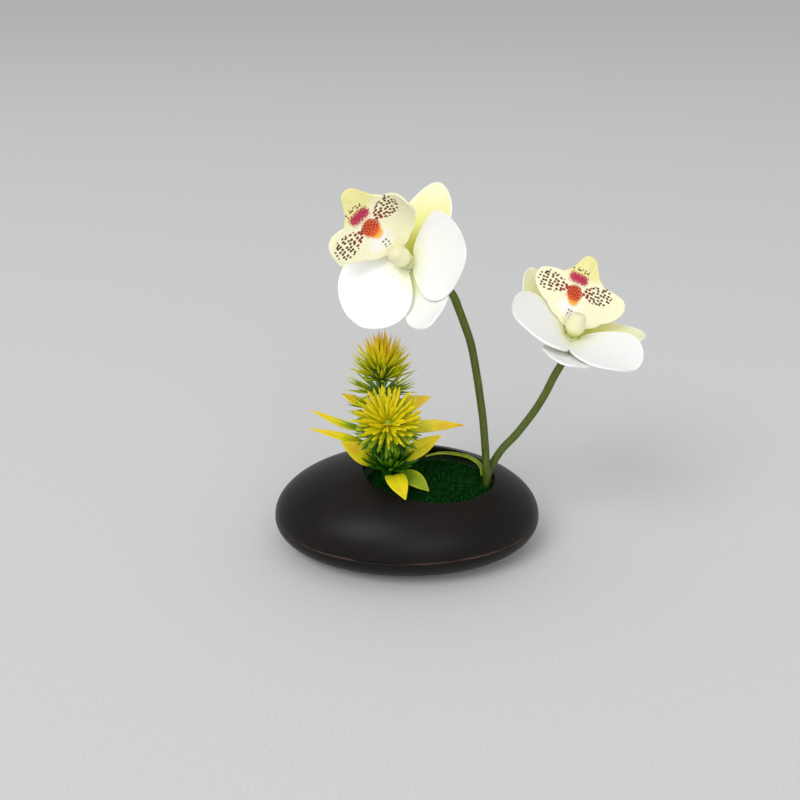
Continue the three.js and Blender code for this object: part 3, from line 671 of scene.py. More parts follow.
# %% Lip outline
# Half of it: the distance along the lip from the throat, and the half width there.
LIP_OUTLINE = [
    (-16.8, 2), (-16, 5), (-13.8, 8.3), (-12, 12), (-8.3, 15.8), (-4.5, 21.4), (-1, 24.3), (2.2, 25.6),
    (5.5, 25), (7.7, 23.4), (9.1, 19), (9.7, 12.2), (11.3, 10.4), (13.4, 7.7), (17.5, 5.4), (21, 3.6),
    (22.3, 1.6),
]
LIP_TIP = LIP_OUTLINE[-1][0]
LIP_THICK = 1
LIP_SPOKES, LIP_STEPS, LIP_ROUND = 264, 46, 7


def lip_radius(directions):
    """The outline is given on one side and mirrored, each point turned to a direction and a
    distance from the throat, joined up by straight lines and eased with a narrow running mean."""
    half = np.array(LIP_OUTLINE, float)
    right = np.arctan2(half[:, 0], half[:, 1])
    length = np.hypot(half[:, 0], half[:, 1])
    known = np.concatenate([right, np.pi - right])
    order = np.argsort(known % (2 * np.pi))
    fine = np.linspace(0, 2 * np.pi, 1440, endpoint=False)
    radius = np.interp(fine, (known % (2 * np.pi))[order], np.tile(length, 2)[order], period=2 * np.pi)
    window = np.hanning(33)
    wrapped = np.concatenate([radius[-16:], radius, radius[:16]])
    eased = np.convolve(wrapped, window / window.sum(), mode="valid")
    return np.interp(directions, fine, eased, period=2 * np.pi)


directions = full_turn(LIP_SPOKES)
outline = lip_radius(directions)
print("lip reach in millimetres:", round(float(outline.min()), 1), "to", round(float(outline.max()), 1))


# %% Lip surface
def soft(value, low, high):
    """Rises smoothly from 0 to 1 between low and high."""
    part = np.clip((value - low) / (high - low), 0, 1)
    return part * part * (3 - 2 * part)


def lip_points(left, right, tip_curl):
    """Spokes from the throat: out across the front, half a turn round the edge, back behind. Each
    side lobe is wrapped on a cylinder of its own curvature, so its thickness turns with it, and the
    midlobe curls up with the square of the distance along. A dimple marks the throat, a keel runs up
    the midlobe, a trough down the neck, and the lobes have a slight frill and fine veins."""
    spoke = np.linspace(0, 1, LIP_STEPS)
    edge = np.linspace(np.pi / 2, -np.pi / 2, LIP_ROUND + 2)[1:-1]
    inner = np.concatenate([spoke, np.ones(LIP_ROUND), spoke[::-1]])[:, None]
    past = np.concatenate([0 * spoke, np.cos(edge), 0 * spoke])[:, None]
    lift = np.concatenate([1 + 0 * spoke, np.sin(edge), -1 + 0 * spoke])[:, None]
    half = LIP_THICK / 2
    radius = inner * (outline - half)[None] + past * half
    x, y = radius * np.cos(directions), radius * np.sin(directions)
    bend = np.where(x < 0, left, right)
    angle = bend * np.abs(x)
    curl = tip_curl * (np.maximum(0, y) / LIP_TIP) ** 2
    throat = -0.7 * np.exp(-(x**2 + y**2) / 3.6**2)
    keel = 0.45 * np.exp(-((x / 2) ** 2)) * soft(y, 9, 14) * (1 - soft(y, 17, LIP_TIP))
    trough = -0.7 * np.exp(-((x / 3) ** 2)) * soft(-y, 4, 10) * (1 - soft(-y, 16, 20))
    frill = 0.25 * soft(radius, 12, 22) * np.sin(5 * directions + 0.6) * np.abs(np.cos(directions))
    veins = 0.05 * np.cos(38 * directions) * soft(radius, 7, 14) * soft(outline[None] - radius, 0.5, 3)
    above = throat + keel + trough + frill + veins + lift * half
    wrapped = np.sign(x) * (np.sin(angle) / bend - above * np.sin(angle))
    height = (1 - np.cos(angle)) / bend + above * np.cos(angle) + curl
    return np.stack([wrapped, y, height], -1), x, y, lift + 0 * x


PRINT_OFF = np.array([-3.3, 1.1])


def printed(x, y, front):
    """Soft masks, 0 to 1, over the print's own plane: two bands of spots that widen outwards, a
    few beyond them, a blotch round a short line across, the throat, the glow towards the neck, and
    faint spots on the neck. Two are painted light, not print: the pale neck is a painted highlight,
    and the midlobe's tint is painted shade. None but these two reach the back."""
    u, v = x - PRINT_OFF[0], y - PRINT_OFF[1]
    out = np.abs(u)
    middle, spread = 1.3 + 0.16 * np.maximum(u, 0), 2.4 + 0.24 * out
    band = 1 - soft(np.hypot((out - 12) / 9.4, (v - middle) / spread), 0.82, 1.06)
    beyond = 1 - soft(np.hypot(u / 6.2, (v - 11.8) / 1.7), 0.7, 1.15)
    neck = 0.75 * (1 - soft(np.hypot((u - 0.6) / 2.4, (v + 10.5) / 2.9), 0.75, 1.1))
    blotch = np.hypot(np.maximum(np.abs(u) - 2.8, 0), v - 7.8)
    throat = np.hypot(u, v + 0.2)
    glow = np.hypot((u - 0.5) / 3.4, (v + 3.6) / 3.4)
    only_front = np.where(front > 0.2, 1.0, 0.0)
    return {
        "print_at": np.stack([u, v, 0 * u], -1),
        "spotted": np.maximum(np.maximum(band, 0.8 * beyond), neck) * only_front,
        "faded": neck,
        "blotch": (1 - soft(blotch, 0.8, 4.7)) * only_front,
        "throat": (1 - soft(throat, 2.6, 6)) * only_front,
        "glow": (1 - soft(glow, 0.6, 1.25)) * only_front,
        # pale: a painted highlight, a whiter patch between the throat and the neck
        "pale": (1 - soft(np.hypot((u + 0.5) / 7.5, (v + 8.5) / 5.5), 0.5, 1.2)),
        # midlobe: painted shade, a deeper yellow for the midlobe's tilted face
        "midlobe": soft(v - 0.3 * out, 4.5, 9.5),
    }


_, lip_x, lip_y, lip_front = lip_points(*ORCHIDS["orchid_b"]["lip_bends"])
lip_print = printed(lip_x, lip_y, lip_front)
print("printed masks:", ", ".join(lip_print))

# %% Lip finish
# The same soft sheet, pad printed: flat inks with slightly ragged edges. The spots are the cells of a
# stretched Voronoi pattern, one cell to a dot, and a dot's radius is about two fifths of a cell.
SPOTS_ACROSS, SPOTS_ALONG = 2.1, 1.6
lip_finish, tree, shader = new_finish("soft sheet, pad printed", IOR=1.45, Roughness=0.5,
                                      Subsurface_Weight=0.1, Subsurface_Radius=(0.9, 0.9, 0.6),
                                      Subsurface_Scale=1 * MM)
masks = {key: add(tree, "Attribute", attribute_name=key).outputs["Fac"]
         for key in lip_print if key != "print_at"}
print_at = add(tree, "Attribute", attribute_name="print_at").outputs["Vector"]
ragged = add(tree, "TexNoise", {"Vector": print_at, "Scale": 1.6, "Detail": 3})
ragged_blot = add(tree, "TexNoise", {"Vector": print_at, "Scale": 1.3, "Detail": 5, "Roughness": 0.75})
spot_place = add(tree, "Mapping", {"Vector": print_at, "Scale": (1 / SPOTS_ACROSS, 1 / SPOTS_ALONG, 1),
                                   "Rotation": (0, 0, 0.1)})
spot_cells = add(tree, "TexVoronoi", {"Vector": spot_place, "Scale": 1, "Randomness": 0.62},
                 voronoi_dimensions="2D")
size_noise = add(tree, "MapRange", {"Value": ragged, "From Min": 0.3, "From Max": 0.7,
                                    "To Min": 0.33, "To Max": 0.45})
from_throat = add(tree, "VectorMath", {0: print_at}, operation="LENGTH").outputs["Value"]
nearness = add(tree, "MapRange", {"Value": from_throat, "From Min": 5, "From Max": 12,
                                  "To Min": 0.1, "To Max": 0})
dot_size = add(tree, "Math", {0: size_noise, 1: nearness}, operation="ADD")
dot_area = add(tree, "Math", {0: dot_size, 1: masks["spotted"]}, operation="MULTIPLY")
inside_dot = add(tree, "Math", {0: dot_area, 1: spot_cells.outputs["Distance"]}, operation="SUBTRACT")
dots = add(tree, "MapRange", {"Value": inside_dot, "From Min": 0, "From Max": 0.07})
# Painted shade: the midlobe's deeper yellow stands for the shade on its tilted face.
sheet = add(tree, "MixRGB", {"Fac": masks["midlobe"], "Color1": "#f8f5cf", "Color2": "#f1eba0"})
# Painted highlight: the sheet turns whiter between the throat and the neck.
sheet = add(tree, "MixRGB", {"Fac": masks["pale"], "Color1": sheet, "Color2": "#fbfaf2"})
reddish = add(tree, "MapRange", {"Value": from_throat, "From Min": 6, "From Max": 13,
                                 "To Min": 1, "To Max": 0.15})
ink = add(tree, "MixRGB", {"Fac": reddish, "Color1": "#54382a", "Color2": "#94302a"})
ink = add(tree, "MixRGB", {"Fac": masks["faded"], "Color1": ink, "Color2": "#7c7f58"})
glow_edge = add(tree, "Math", {0: masks["glow"], 1: ragged}, operation="ADD")
glow = add(tree, "MapRange", {"Value": glow_edge, "From Min": 0.7, "From Max": 1.5})
sheet = add(tree, "MixRGB", {"Fac": glow, "Color1": sheet, "Color2": "#f7b53a"})
sheet = add(tree, "MixRGB", {"Fac": dots, "Color1": sheet, "Color2": ink})
torn = add(tree, "MapRange", {"Value": ragged_blot, "From Min": 0.32, "From Max": 0.68})
blotch_edge = add(tree, "Math", {0: masks["blotch"], 1: torn}, operation="ADD")
blotch = add(tree, "MapRange", {"Value": blotch_edge, "From Min": 0.85, "From Max": 1.3})
sheet = add(tree, "MixRGB", {"Fac": blotch, "Color1": sheet, "Color2": "#b8204c"})
net = add(tree, "TexVoronoi", {"Vector": print_at, "Scale": 0.72, "Randomness": 1},
          feature="DISTANCE_TO_EDGE", voronoi_dimensions="2D")
meshes = add(tree, "MapRange", {"Value": net.outputs["Distance"], "From Min": 0.0, "From Max": 0.12})
height_at = add(tree, "SeparateXYZ", {"Vector": print_at}).outputs["Y"]
upper_part = add(tree, "MapRange", {"Value": height_at, "From Min": -5.5, "From Max": 1.5})
patch = add(tree, "ValToRGB", {"Fac": upper_part},
            [(0, "#f6a834"), (0.3, "#e2541a"), (0.55, "#c0240f"), (1, "#b01c0e")])
netted = add(tree, "MixRGB", {"Fac": meshes, "Color1": "#ee8a3c", "Color2": patch})
throat_edge = add(tree, "Math", {0: masks["throat"], 1: torn}, operation="ADD")
throat = add(tree, "MapRange", {"Value": throat_edge, "From Min": 0.8, "From Max": 1.1})
sheet = add(tree, "MixRGB", {"Fac": throat, "Color1": sheet, "Color2": netted})
place = add(tree, "TexCoord").outputs["Object"]
bloom = add(tree, "TexNoise", {"Vector": place, "Scale": per(0.6), "Detail": 2})
silky = add(tree, "Bump", {"Height": bloom, "Strength": 0.15, "Distance": 0.06 * MM})
feed(tree, shader, {"Base Color": sheet, "Normal": silky})
print("nodes in the printed finish:", len(tree.nodes))


# %% Lips in place
def lip_frame(lean, distance, roll, spin):
    """The lip leans back from the flower's axis, sits at a distance along that lean, and is rolled
    about it and spun about its own face. Gives its origin and its three directions."""
    lean, roll, spin = np.radians([lean, roll, spin])
    along = np.array([-np.sin(lean), 0, np.cos(lean)])
    upright = np.array([np.cos(lean), 0, np.sin(lean)])
    face = upright * np.cos(roll) + np.cross(along, upright) * np.sin(roll)
    across = np.cross(along, face)
    spun_across = across * np.cos(spin) + along * np.sin(spin)
    spun_along = along * np.cos(spin) - across * np.sin(spin)
    return along * distance, np.array([spun_across, spun_along, face])


for name, flower in flowers.items():
    origin, axes = lip_frame(*ORCHIDS[name]["lip"])
    lip_shape = lip_points(*ORCHIDS[name]["lip_bends"])[0]
    points = flower.world(origin + lip_shape @ axes)
    piece(f"{name}_lip_printed", lip_finish, "lip_print", [f"{name}_lip"], points, **lip_print)
print("triangles in a lip:", added["orchid_a_lip_printed"])

# %% [markdown]
# ## Columns and hubs
#
# The column stands in the middle of the flower: a stubby rounded post, flattened on the lip's side,
# with a cap marked off by a shallow groove. The hub behind it is a green cap with six soft ribs and
# the socket for the stem, and its pale front neck runs through the claws of the tepals. Both are
# profiles turned about the flower's axis, with the radius changed a little from direction to
# direction.

# %% Turned pieces
def turned(profile, columns, swell):
    """A profile of radius and height carried round Z; swell(turn, height) scales the radius."""
    turn = full_turn(columns)[None]
    radius, height = profile[0][:, None], profile[1][:, None]
    radius = radius * swell(turn, height)
    return np.stack([radius * np.cos(turn), radius * np.sin(turn), height + 0 * turn], -1)


def eased_profile(points, steps):
    """A profile of radius and height smoothed by the same curve as the routes."""
    made = route([(radius, height, 0) for radius, height in points], steps)
    return np.stack([np.maximum(made[:, 0], 0), made[:, 1]])


# %% Column and hub finishes
# Soft sheet's solid cousin, cast in a mould: creamy and half matt, yellower low down and cream above.
# The darkest green at the very foot is painted shade, where the column meets the lip.
column_finish, tree, shader = new_finish("soft casting, cream", IOR=1.47, Roughness=0.42,
                                         Subsurface_Weight=0.15, Subsurface_Radius=(0.9, 0.8, 0.4),
                                         Subsurface_Scale=1.5 * MM)
place = add(tree, "TexCoord").outputs["Object"]
along = add(tree, "Attribute", attribute_name="along").outputs["Fac"]
casting_mottle = add(tree, "TexNoise", {"Vector": place, "Scale": per(3), "Detail": 3})
shift = add(tree, "MapRange", {"Value": casting_mottle, "To Min": -0.12, "To Max": 0.12})
dyed_at = add(tree, "Math", {0: along, 1: shift}, operation="ADD")
# Painted shade: the dark green first stop stands for the shadow at the column's foot.
tint = add(tree, "ValToRGB", {"Fac": dyed_at},
           [(0.04, "#bdc052"), (0.18, "#dcdc96"), (0.5, "#ecebc2"), (1, "#e9e4bc")])
dimples = add(tree, "Bump", {"Height": casting_mottle, "Strength": 0.2, "Distance": 0.15 * MM})
feed(tree, shader, {"Base Color": tint, "Normal": dimples})

# Polyethylene, moulded: waxy mid green with paler ribs, and a cream neck in front.
hub_finish, tree, shader = new_finish("polyethylene, moulded green", IOR=1.51, Roughness=0.45)
place = add(tree, "TexCoord").outputs["Object"]
rib = add(tree, "Attribute", attribute_name="rib").outputs["Fac"]
waxy = add(tree, "TexNoise", {"Vector": place, "Scale": per(2.5), "Detail": 3})
mix = add(tree, "Math", {0: rib, 1: waxy}, operation="MULTIPLY_ADD")
feed(tree, mix, {2: 0.2})
tint = add(tree, "ValToRGB", {"Fac": mix}, [(0.2, "#5d7430"), (0.7, "#93a552")])
front = add(tree, "Attribute", attribute_name="front").outputs["Fac"]
tint = add(tree, "MixRGB", {"Fac": front, "Color1": tint, "Color2": "#e6e9bd"})
skinned = add(tree, "Bump", {"Height": waxy, "Strength": 0.2, "Distance": 0.1 * MM})
feed(tree, shader, {"Base Color": tint, "Normal": skinned})
print("column nodes:", len(column_finish.node_tree.nodes))

# %% Columns and hubs in place
COLUMN_FOOT, COLUMN_TALL, COLUMN_OFF = 4.4, 12.6, 1.1
COLUMN_PROFILE = [(0, 0), (2, 0.01), (2.9, 0.12), (4.5, 0.3), (4.9, 0.48), (4.5, 0.7), (3.8, 0.86),
                  (2.7, 0.96), (0, 1)]
COLUMN_ROUND, HUB_ROUND = 64, 72
HUB_RIBS = 6
HUB_SIDE = [(2.6, -8.6), (3.1, -6), (2.8, -3.8), (2.6, -2.4), (3.5, 0), (3.4, 3.2)]
BORE = 1.4

column_side = eased_profile(COLUMN_PROFILE, 46)
groove = 1 - 0.06 * np.exp(-(((column_side[1] - 0.74) / 0.025) ** 2))
column_side = np.stack([column_side[0] * groove, column_side[1] * COLUMN_TALL])
flattened = lambda turn, height: 1 - 0.14 * np.clip(-np.cos(turn), 0, 1) ** 2 + 0 * height
column_points = turned(column_side, COLUMN_ROUND, flattened) + np.array([COLUMN_OFF, 0, COLUMN_FOOT])
column_along = (column_points[..., 2] - COLUMN_FOOT) / COLUMN_TALL

hub_side = eased_profile(HUB_SIDE, 34)
socket = np.array([[0, BORE, BORE], [-5.2, -5.2, -8.6]])
hub_side = np.concatenate([socket, hub_side, [[1.7, 0], [3.5, 3.6]]], 1)
ribbed = lambda turn, height: (
    1 + 0.045 * np.cos(HUB_RIBS * turn) * soft(height, -8, -6) * (1 - soft(height, -3.4, -2.4)))
hub_points = turned(hub_side, HUB_ROUND, ribbed)
hub_rib = 0.5 + 0.5 * np.cos(HUB_RIBS * full_turn(HUB_ROUND))
hub_rib = np.broadcast_to(hub_rib[None], hub_points.shape[:2])
hub_front = soft(hub_points[..., 2], -1.5, 1.5)

for name, flower in flowers.items():
    piece(f"{name}_column_cast", column_finish, "column_cream", [f"{name}_column"],
          flower.world(column_points), along=column_along)
    piece(f"{name}_hub", hub_finish, "calyx_green", [f"{name}_calyx"], flower.world(hub_points),
          rib=hub_rib, front=hub_front)
print("column triangles:", added["orchid_a_column_cast"])

# %% [markdown]
# ## Stems
#
# A flower stem is a green sleeve over a steel wire, bent by hand, and a pick stem is a solid rod. Both
# are a circle carried along a route. The circle stands square to the route at each point, and the
# sleeve goes up on its outside and comes back down its bore, so it is really hollow.

# %% Bars along a route
def tangents(path):
    return unit(np.gradient(path, axis=0))


def tube(path, radius, columns):
    """A circle of the given radius at each point of the path, square to it. Its first direction is
    the cross product of the path's direction and X, and the second is square to both."""
    ahead = tangents(path)
    first = unit(np.cross(ahead, [1.0, 0, 0]))
    second = np.cross(ahead, first)
    turn = full_turn(columns)[None, :, None]
    radius = np.asarray(radius, float).reshape(-1, 1, 1)
    return path[:, None] + radius * (np.cos(turn) * first[:, None] + np.sin(turn) * second[:, None])


# %% Stem finish
# Polyethylene, extruded over wire and matted: olive green, faint lengthwise streaks, soft shine.
stem_finish, tree, shader = new_finish("polyethylene sleeve, extruded", IOR=1.51, Specular_IOR_Level=0.35)
place = add(tree, "TexCoord").outputs["Object"]
along = add(tree, "Attribute", attribute_name="along").outputs["Fac"]
stretched = add(tree, "Mapping", {"Vector": place, "Scale": (per(0.8), per(0.8), per(9))})
streaks = add(tree, "TexNoise", {"Vector": stretched, "Scale": 1, "Detail": 3})
tint = add(tree, "ValToRGB", {"Fac": streaks}, [(0.25, "#36420c"), (0.55, "#4a5a16"), (0.8, "#66701f")])
# The sleeve turns paler towards its flower end.
lighter = add(tree, "MapRange", {"Value": along, "From Min": 0.1, "From Max": 1, "To Min": 0, "To Max": 0.35})
paler_upwards = add(tree, "MixRGB", {"Fac": lighter, "Color1": tint, "Color2": "#6d7a26"})
matted = add(tree, "MapRange", {"Value": streaks, "To Min": 0.42, "To Max": 0.6})
drawn = add(tree, "Bump", {"Height": streaks, "Strength": 0.3, "Distance": 0.15 * MM})
feed(tree, shader, {"Base Color": paler_upwards, "Roughness": matted, "Normal": drawn})
print("stem streak width in millimetres:", 0.8)

# %% Flower stems in place
STEM_RADIUS = 2
# How far behind a flower's centre the CAD stem, its wire and this sleeve end. The sleeve goes on
# past the CAD's to the hub's foot, so that no wire shows.
STEM_END, WIRE_END, SLEEVE_END = 9, 5.8, 8.62
SLEEVE_ROUND = 24
STEM_ROUTES = {
    "orchid_a": [(41.5, -7.8, 17), (41.3, -7.5, 36), (40.6, -6.6, 49.4), (38.5, -4.6, 71.4),
                 (36.9, -3.8, 82.3), (34.2, -3, 98.3), (31.1, -3, 112.9), (28.1, -3, 121.6),
                 (25.1, -3, 129.6), (21.4, -2.2, 137.8), (14.6, 0.4, 143.2)],
    "orchid_b": [(41.8, -3, 17), (42.1, -3, 37), (43.2, -2.8, 43), (45.8, -2.3, 48.5), (49.6, -1.6, 54.4),
                 (54.6, -1, 59.9), (58.1, -0.5, 64.3), (65.3, 0, 75.1), (69.9, 0, 84), (74, 0.4, 93.6)],
}
STEM_STEPS = 260
for name, flower in flowers.items():
    behind = [flower.world(np.array([0, 0, -d])) for d in (STEM_END + 2.5, STEM_END, WIRE_END)]
    whole = route([*STEM_ROUTES[name], *behind], STEM_STEPS)
    length = np.linalg.norm(np.diff(whole, axis=0), axis=1).sum()
    kept = int(STEM_STEPS * (1 - (STEM_END - WIRE_END) / length)) - 1
    path = np.concatenate([whole[:kept], flower.world(np.array([[0, 0, -SLEEVE_END]]))])
    part = np.linspace(0, 1, len(path))
    swell = STEM_RADIUS * (1 - 0.02 + 0.02 * np.sin(part * 40) ** 2)
    swell[[0, -1]] -= 0.2
    bore = tube(path, BORE + 0 * part, SLEEVE_ROUND)[::-1]
    points = np.concatenate([tube(path, swell, SLEEVE_ROUND), bore])
    rise = np.concatenate([part, part[::-1]])[:, None] + np.zeros((1, SLEEVE_ROUND))
    piece(f"{name}_stem_sleeve", stem_finish, "stem_plastic", [f"{name}_stem"], points, ring=True, along=rise)
    print(name, "stem length in millimetres:", round(float(length), 1))

# %% [markdown]
# ## Foliage
#
# The pick is moulded in one plastic and dyed in two steps: green at every base, yellow at every tip,
# with a touch of orange where the yellow is thickest. So all of it shares one idea of colour: a number
# called ripe, from deep green at 0 over yellow to orange at 1, is worked out for each point, and one
# ramp turns it into dye. The finish is glossier than the flowers, because the mould was polished.

# %% Foliage finishes
RIPENING = [(0, "#123f0b"), (0.22, "#2f7012"), (0.42, "#7f9f18"), (0.6, "#c9c91a"), (0.78, "#ecda14"),
            (1, "#e0a81c")]


def dyed_finish(name, low_rough, high_rough, grain_mm):
    """Polished polyethylene with the two-step dye, a waxy mottle and fine lengthwise scratches."""
    material, tree, shader = new_finish(name, IOR=1.51, Specular_IOR_Level=0.4,
                                        Subsurface_Weight=0.08, Subsurface_Scale=1 * MM)
    place = add(tree, "TexCoord").outputs["Object"]
    ripe = add(tree, "Attribute", attribute_name="ripe").outputs["Fac"]
    mottle = add(tree, "TexNoise", {"Vector": place, "Scale": per(grain_mm), "Detail": 4})
    shift = add(tree, "MapRange", {"Value": mottle, "From Min": 0.3, "From Max": 0.7,
                                   "To Min": -0.09, "To Max": 0.09})
    level = add(tree, "Math", {0: ripe, 1: shift}, operation="ADD")
    dye = add(tree, "ValToRGB", {"Fac": level}, RIPENING)
    waxy = add(tree, "MapRange", {"Value": mottle, "To Min": low_rough, "To Max": high_rough})
    uneven = add(tree, "Bump", {"Height": mottle, "Strength": 0.25, "Distance": 0.2 * MM})
    feed(tree, shader, {"Base Color": dye, "Roughness": waxy, "Normal": uneven})
    return material


needle_finish = dyed_finish("polyethylene needles, dyed yellow", 0.3, 0.45, 4)
deep_finish = dyed_finish("polyethylene needles, deep green", 0.14, 0.26, 4)
leaf_finish = dyed_finish("polyethylene leaves, dyed yellow", 0.32, 0.48, 7)
print("dye stops:", len(RIPENING))

# %% Pick stems
PICK_RADIUS = 1.3
PICK_ROUTES = {
    "back": [(-12, -2.5, 18), (-12, -2, 40), (-13, 2, 66), (-13.2, 4, 84), (-13, 4, 96.5)],
    "front": [(-9, -8.5, 18), (-9.2, -8.5, 40), (-9.6, -10, 60), (-9.7, -13.2, 71.5), (-9.6, -18, 76.2)],
}
PICK_STEPS = 120
pick_paths = {}
for name, points in PICK_ROUTES.items():
    path = route(points, PICK_STEPS)
    pick_paths[name] = path
    ends = np.linspace(0, 1, PICK_STEPS)
    fit = np.sin(np.pi / 3) + 0.1 * np.sin(ends * 60) ** 2
    size = PICK_RADIUS * np.minimum(fit, 1) * rounded_end(np.minimum(ends, 1 - ends) * 80, 0.6)
    piece(f"pick_stem_{name}", deep_finish, "needle_green", [f"foliage_stem_{name}"], tube(path, size, 16),
          ripe=np.full((PICK_STEPS, 16), 0.18))
print("pick stems:", ", ".join(pick_paths))

# %% [markdown]
# Needles and straps are the same small shape: a flat oval section carried along an arc that leaves the
# hub at one angle and has curled by another when it ends in a point. A ring holds dozens of them,
# turned by the golden angle from one to the next so that no two line up, and all of a ring's needles
# are computed at once as one array.

# %% Needle rings
GOLDEN = np.pi * (3 - np.sqrt(5))
NEEDLE_ROWS, NEEDLE_COLUMNS = 9, 6
growth = np.random.default_rng(21)


def ring_needles(centre, axis, count, length, width, thick, rise, curl, hub, shape, squeeze=1):
    """Each needle starts on the hub, goes out at its rise and turns by its curl over its length, so
    that it is an arc of a circle. Width and thickness follow shape(along) and end in a point."""
    axis = unit(np.array(axis, float))
    first = unit(np.cross(axis, [0.2, 1, 0.1]))
    second = np.cross(axis, first)
    number = np.arange(count)
    turn = number * GOLDEN + growth.normal(0, 0.06, count)
    low, high = np.radians(rise)
    start = low + (high - low) * (number + 0.5) / count + growth.normal(0, 0.05, count)
    bend = np.radians(curl) + growth.normal(0, 0.08, count)
    bend = np.where(np.abs(bend) < 0.02, 0.02, bend)[:, None]
    long = length * growth.uniform(0.86, 1, count)[:, None]
    along = np.linspace(0, 1, NEEDLE_ROWS)[None]
    angle = start[:, None] + bend * along
    reach = hub + long * (np.sin(angle) - np.sin(start)[:, None]) / bend
    height = long * (np.cos(start)[:, None] - np.cos(angle)) / bend
    flat = np.cos(turn)[:, None] * first + np.sin(turn)[:, None] * second
    side = np.cross(axis, flat)
    spine = reach[..., None] * flat[:, None] + height[..., None] * axis
    normal = np.cos(angle)[..., None] * axis - np.sin(angle)[..., None] * flat[:, None]
    around = full_turn(NEEDLE_COLUMNS)[None, None, :, None]
    swell = shape(along)[..., None, None] * growth.uniform(0.8, 1.15, (count, 1, 1, 1)) / 2
    section = np.cos(around) * side[:, None, None] * width * squeeze
    section = section + np.sin(around) * normal[:, :, None] * thick
    points = np.array(centre) + spine[:, :, None] + swell * section
    along = np.broadcast_to(along[..., None], points.shape[:3])
    chance = np.broadcast_to(growth.random((count, 1, 1)), points.shape[:3])
    return points, along, chance


thin = lambda along: rounded_end(along, 0.12) * (1 - along**2.5) * (0.75 + 0.5 * np.sin(np.pi * along))
strap = lambda along: (
    rounded_end(along, 0.1) * rounded_end(1 - along, 0.16) * (0.8 + 0.35 * np.sin(np.pi * along)))
print("faces in one needle:", NEEDLE_COLUMNS * (NEEDLE_ROWS - 1))


# %% Hubs of the rings
def hub_ball(centre, axis, radius, tall):
    """A small barrel round the stem: half an ellipse turned about the ring's axis."""
    axis = unit(np.array(axis, float))
    first = unit(np.cross(axis, [0.2, 1, 0.1]))
    second = np.cross(axis, first)
    level = np.linspace(-np.pi / 2, np.pi / 2, NEEDLE_ROWS)[None, :, None, None]
    turn = full_turn(NEEDLE_COLUMNS * 3)[None, None, :, None]
    flat = np.cos(turn) * first + np.sin(turn) * second
    return np.array(centre) + radius * np.cos(level) * flat + tall / 2 * np.sin(level) * axis


def stem_point(name, part):
    path = pick_paths[name]
    position = part * (len(path) - 1)
    here = np.array([np.interp(position, np.arange(len(path)), axis) for axis in path.T])
    ahead = tangents(path)[int(round(position))]
    return here, ahead


# %% [markdown]
# Each ring is written as one line: the stem and how far along it the ring sits, then layers of
# needles from the inside out. A layer gives the number, length, width, thickness, the range of rise,
# the curl, and how ripe its needles are at the base and at the tip.

# %% Rings in place
# A needle starts inside its ring's ball. A strap is yellower the higher it is: so much ripeness for
# each millimetre over the ring's centre, between a lowest and a highest point.
NEEDLE_START, BALL_RADIUS, BALL_TALL = 1.4, 2.8, 4
RIPE_PER_MM, RIPE_LOWEST, RIPE_HIGHEST = 0.032, -13, 1
RINGS = {
    "needles_crown": ("back", 0.985, thin, [
        (24, 21.5, 1.9, 1.1, (66, 88), 6, 0.42, 0.96),
        (26, 20.5, 1.8, 1.0, (42, 64), 12, 0.32, 0.94),
        (26, 19.5, 1.6, 0.9, (22, 42), 14, 0.22, 0.8),
    ]),
    "needles_upper": ("back", 0.93, thin, [
        (30, 20, 1.5, 0.9, (26, 44), 12, 0.22, 0.78),
        (26, 19.5, 1.5, 0.9, (10, 28), 14, 0.16, 0.72),
    ]),
    "needles_middle": ("back", 0.84, thin, [
        (28, 19.5, 1.5, 0.9, (10, 28), 14, 0.14, 0.7),
        (26, 18.5, 1.5, 0.9, (-8, 12), 14, 0.05, 0.6),
    ]),
    "needles_lower": ("back", 0.72, thin, [
        (26, 18, 1.5, 0.9, (6, 24), 12, 0.05, 0.6),
        (24, 18, 1.5, 0.9, (-14, 6), 12, 0.03, 0.56),
    ]),
    "needles_foot": ("back", 0.54, thin, [(38, 15.5, 1.5, 0.9, (-14, 18), 10, 0, 0.5)]),
    "straps_front": ("front", 0.985, strap, [
        (16, 13, 1.3, 0.9, (56, 82), -14, 0.5, 0.8),
        (26, 17.5, 1.5, 0.9, (36, 58), 8, 0.48, 0.82),
        (34, 19.5, 1.5, 0.9, (14, 38), 26, 0.4, 0.78),
        (34, 19.5, 1.4, 0.9, (-8, 16), 34, 0.28, 0.7),
    ]),
    "straps_under": ("front", 0.88, strap, [
        (32, 18, 1.5, 0.9, (-12, 10), 22, 0.13, 0.6),
        (32, 17.5, 1.6, 0.9, (-34, -10), 24, 0.06, 0.46),
    ]),
    "straps_cup": ("front", 0.47, strap, [
        (20, 18.5, 2.4, 1.1, (56, 80), -6, 0.1, 0.3),
        (22, 18, 2.4, 1.1, (32, 56), 16, 0.05, 0.26),
        (20, 15.5, 2.4, 1.1, (8, 32), 26, 0.02, 0.2),
    ]),
}
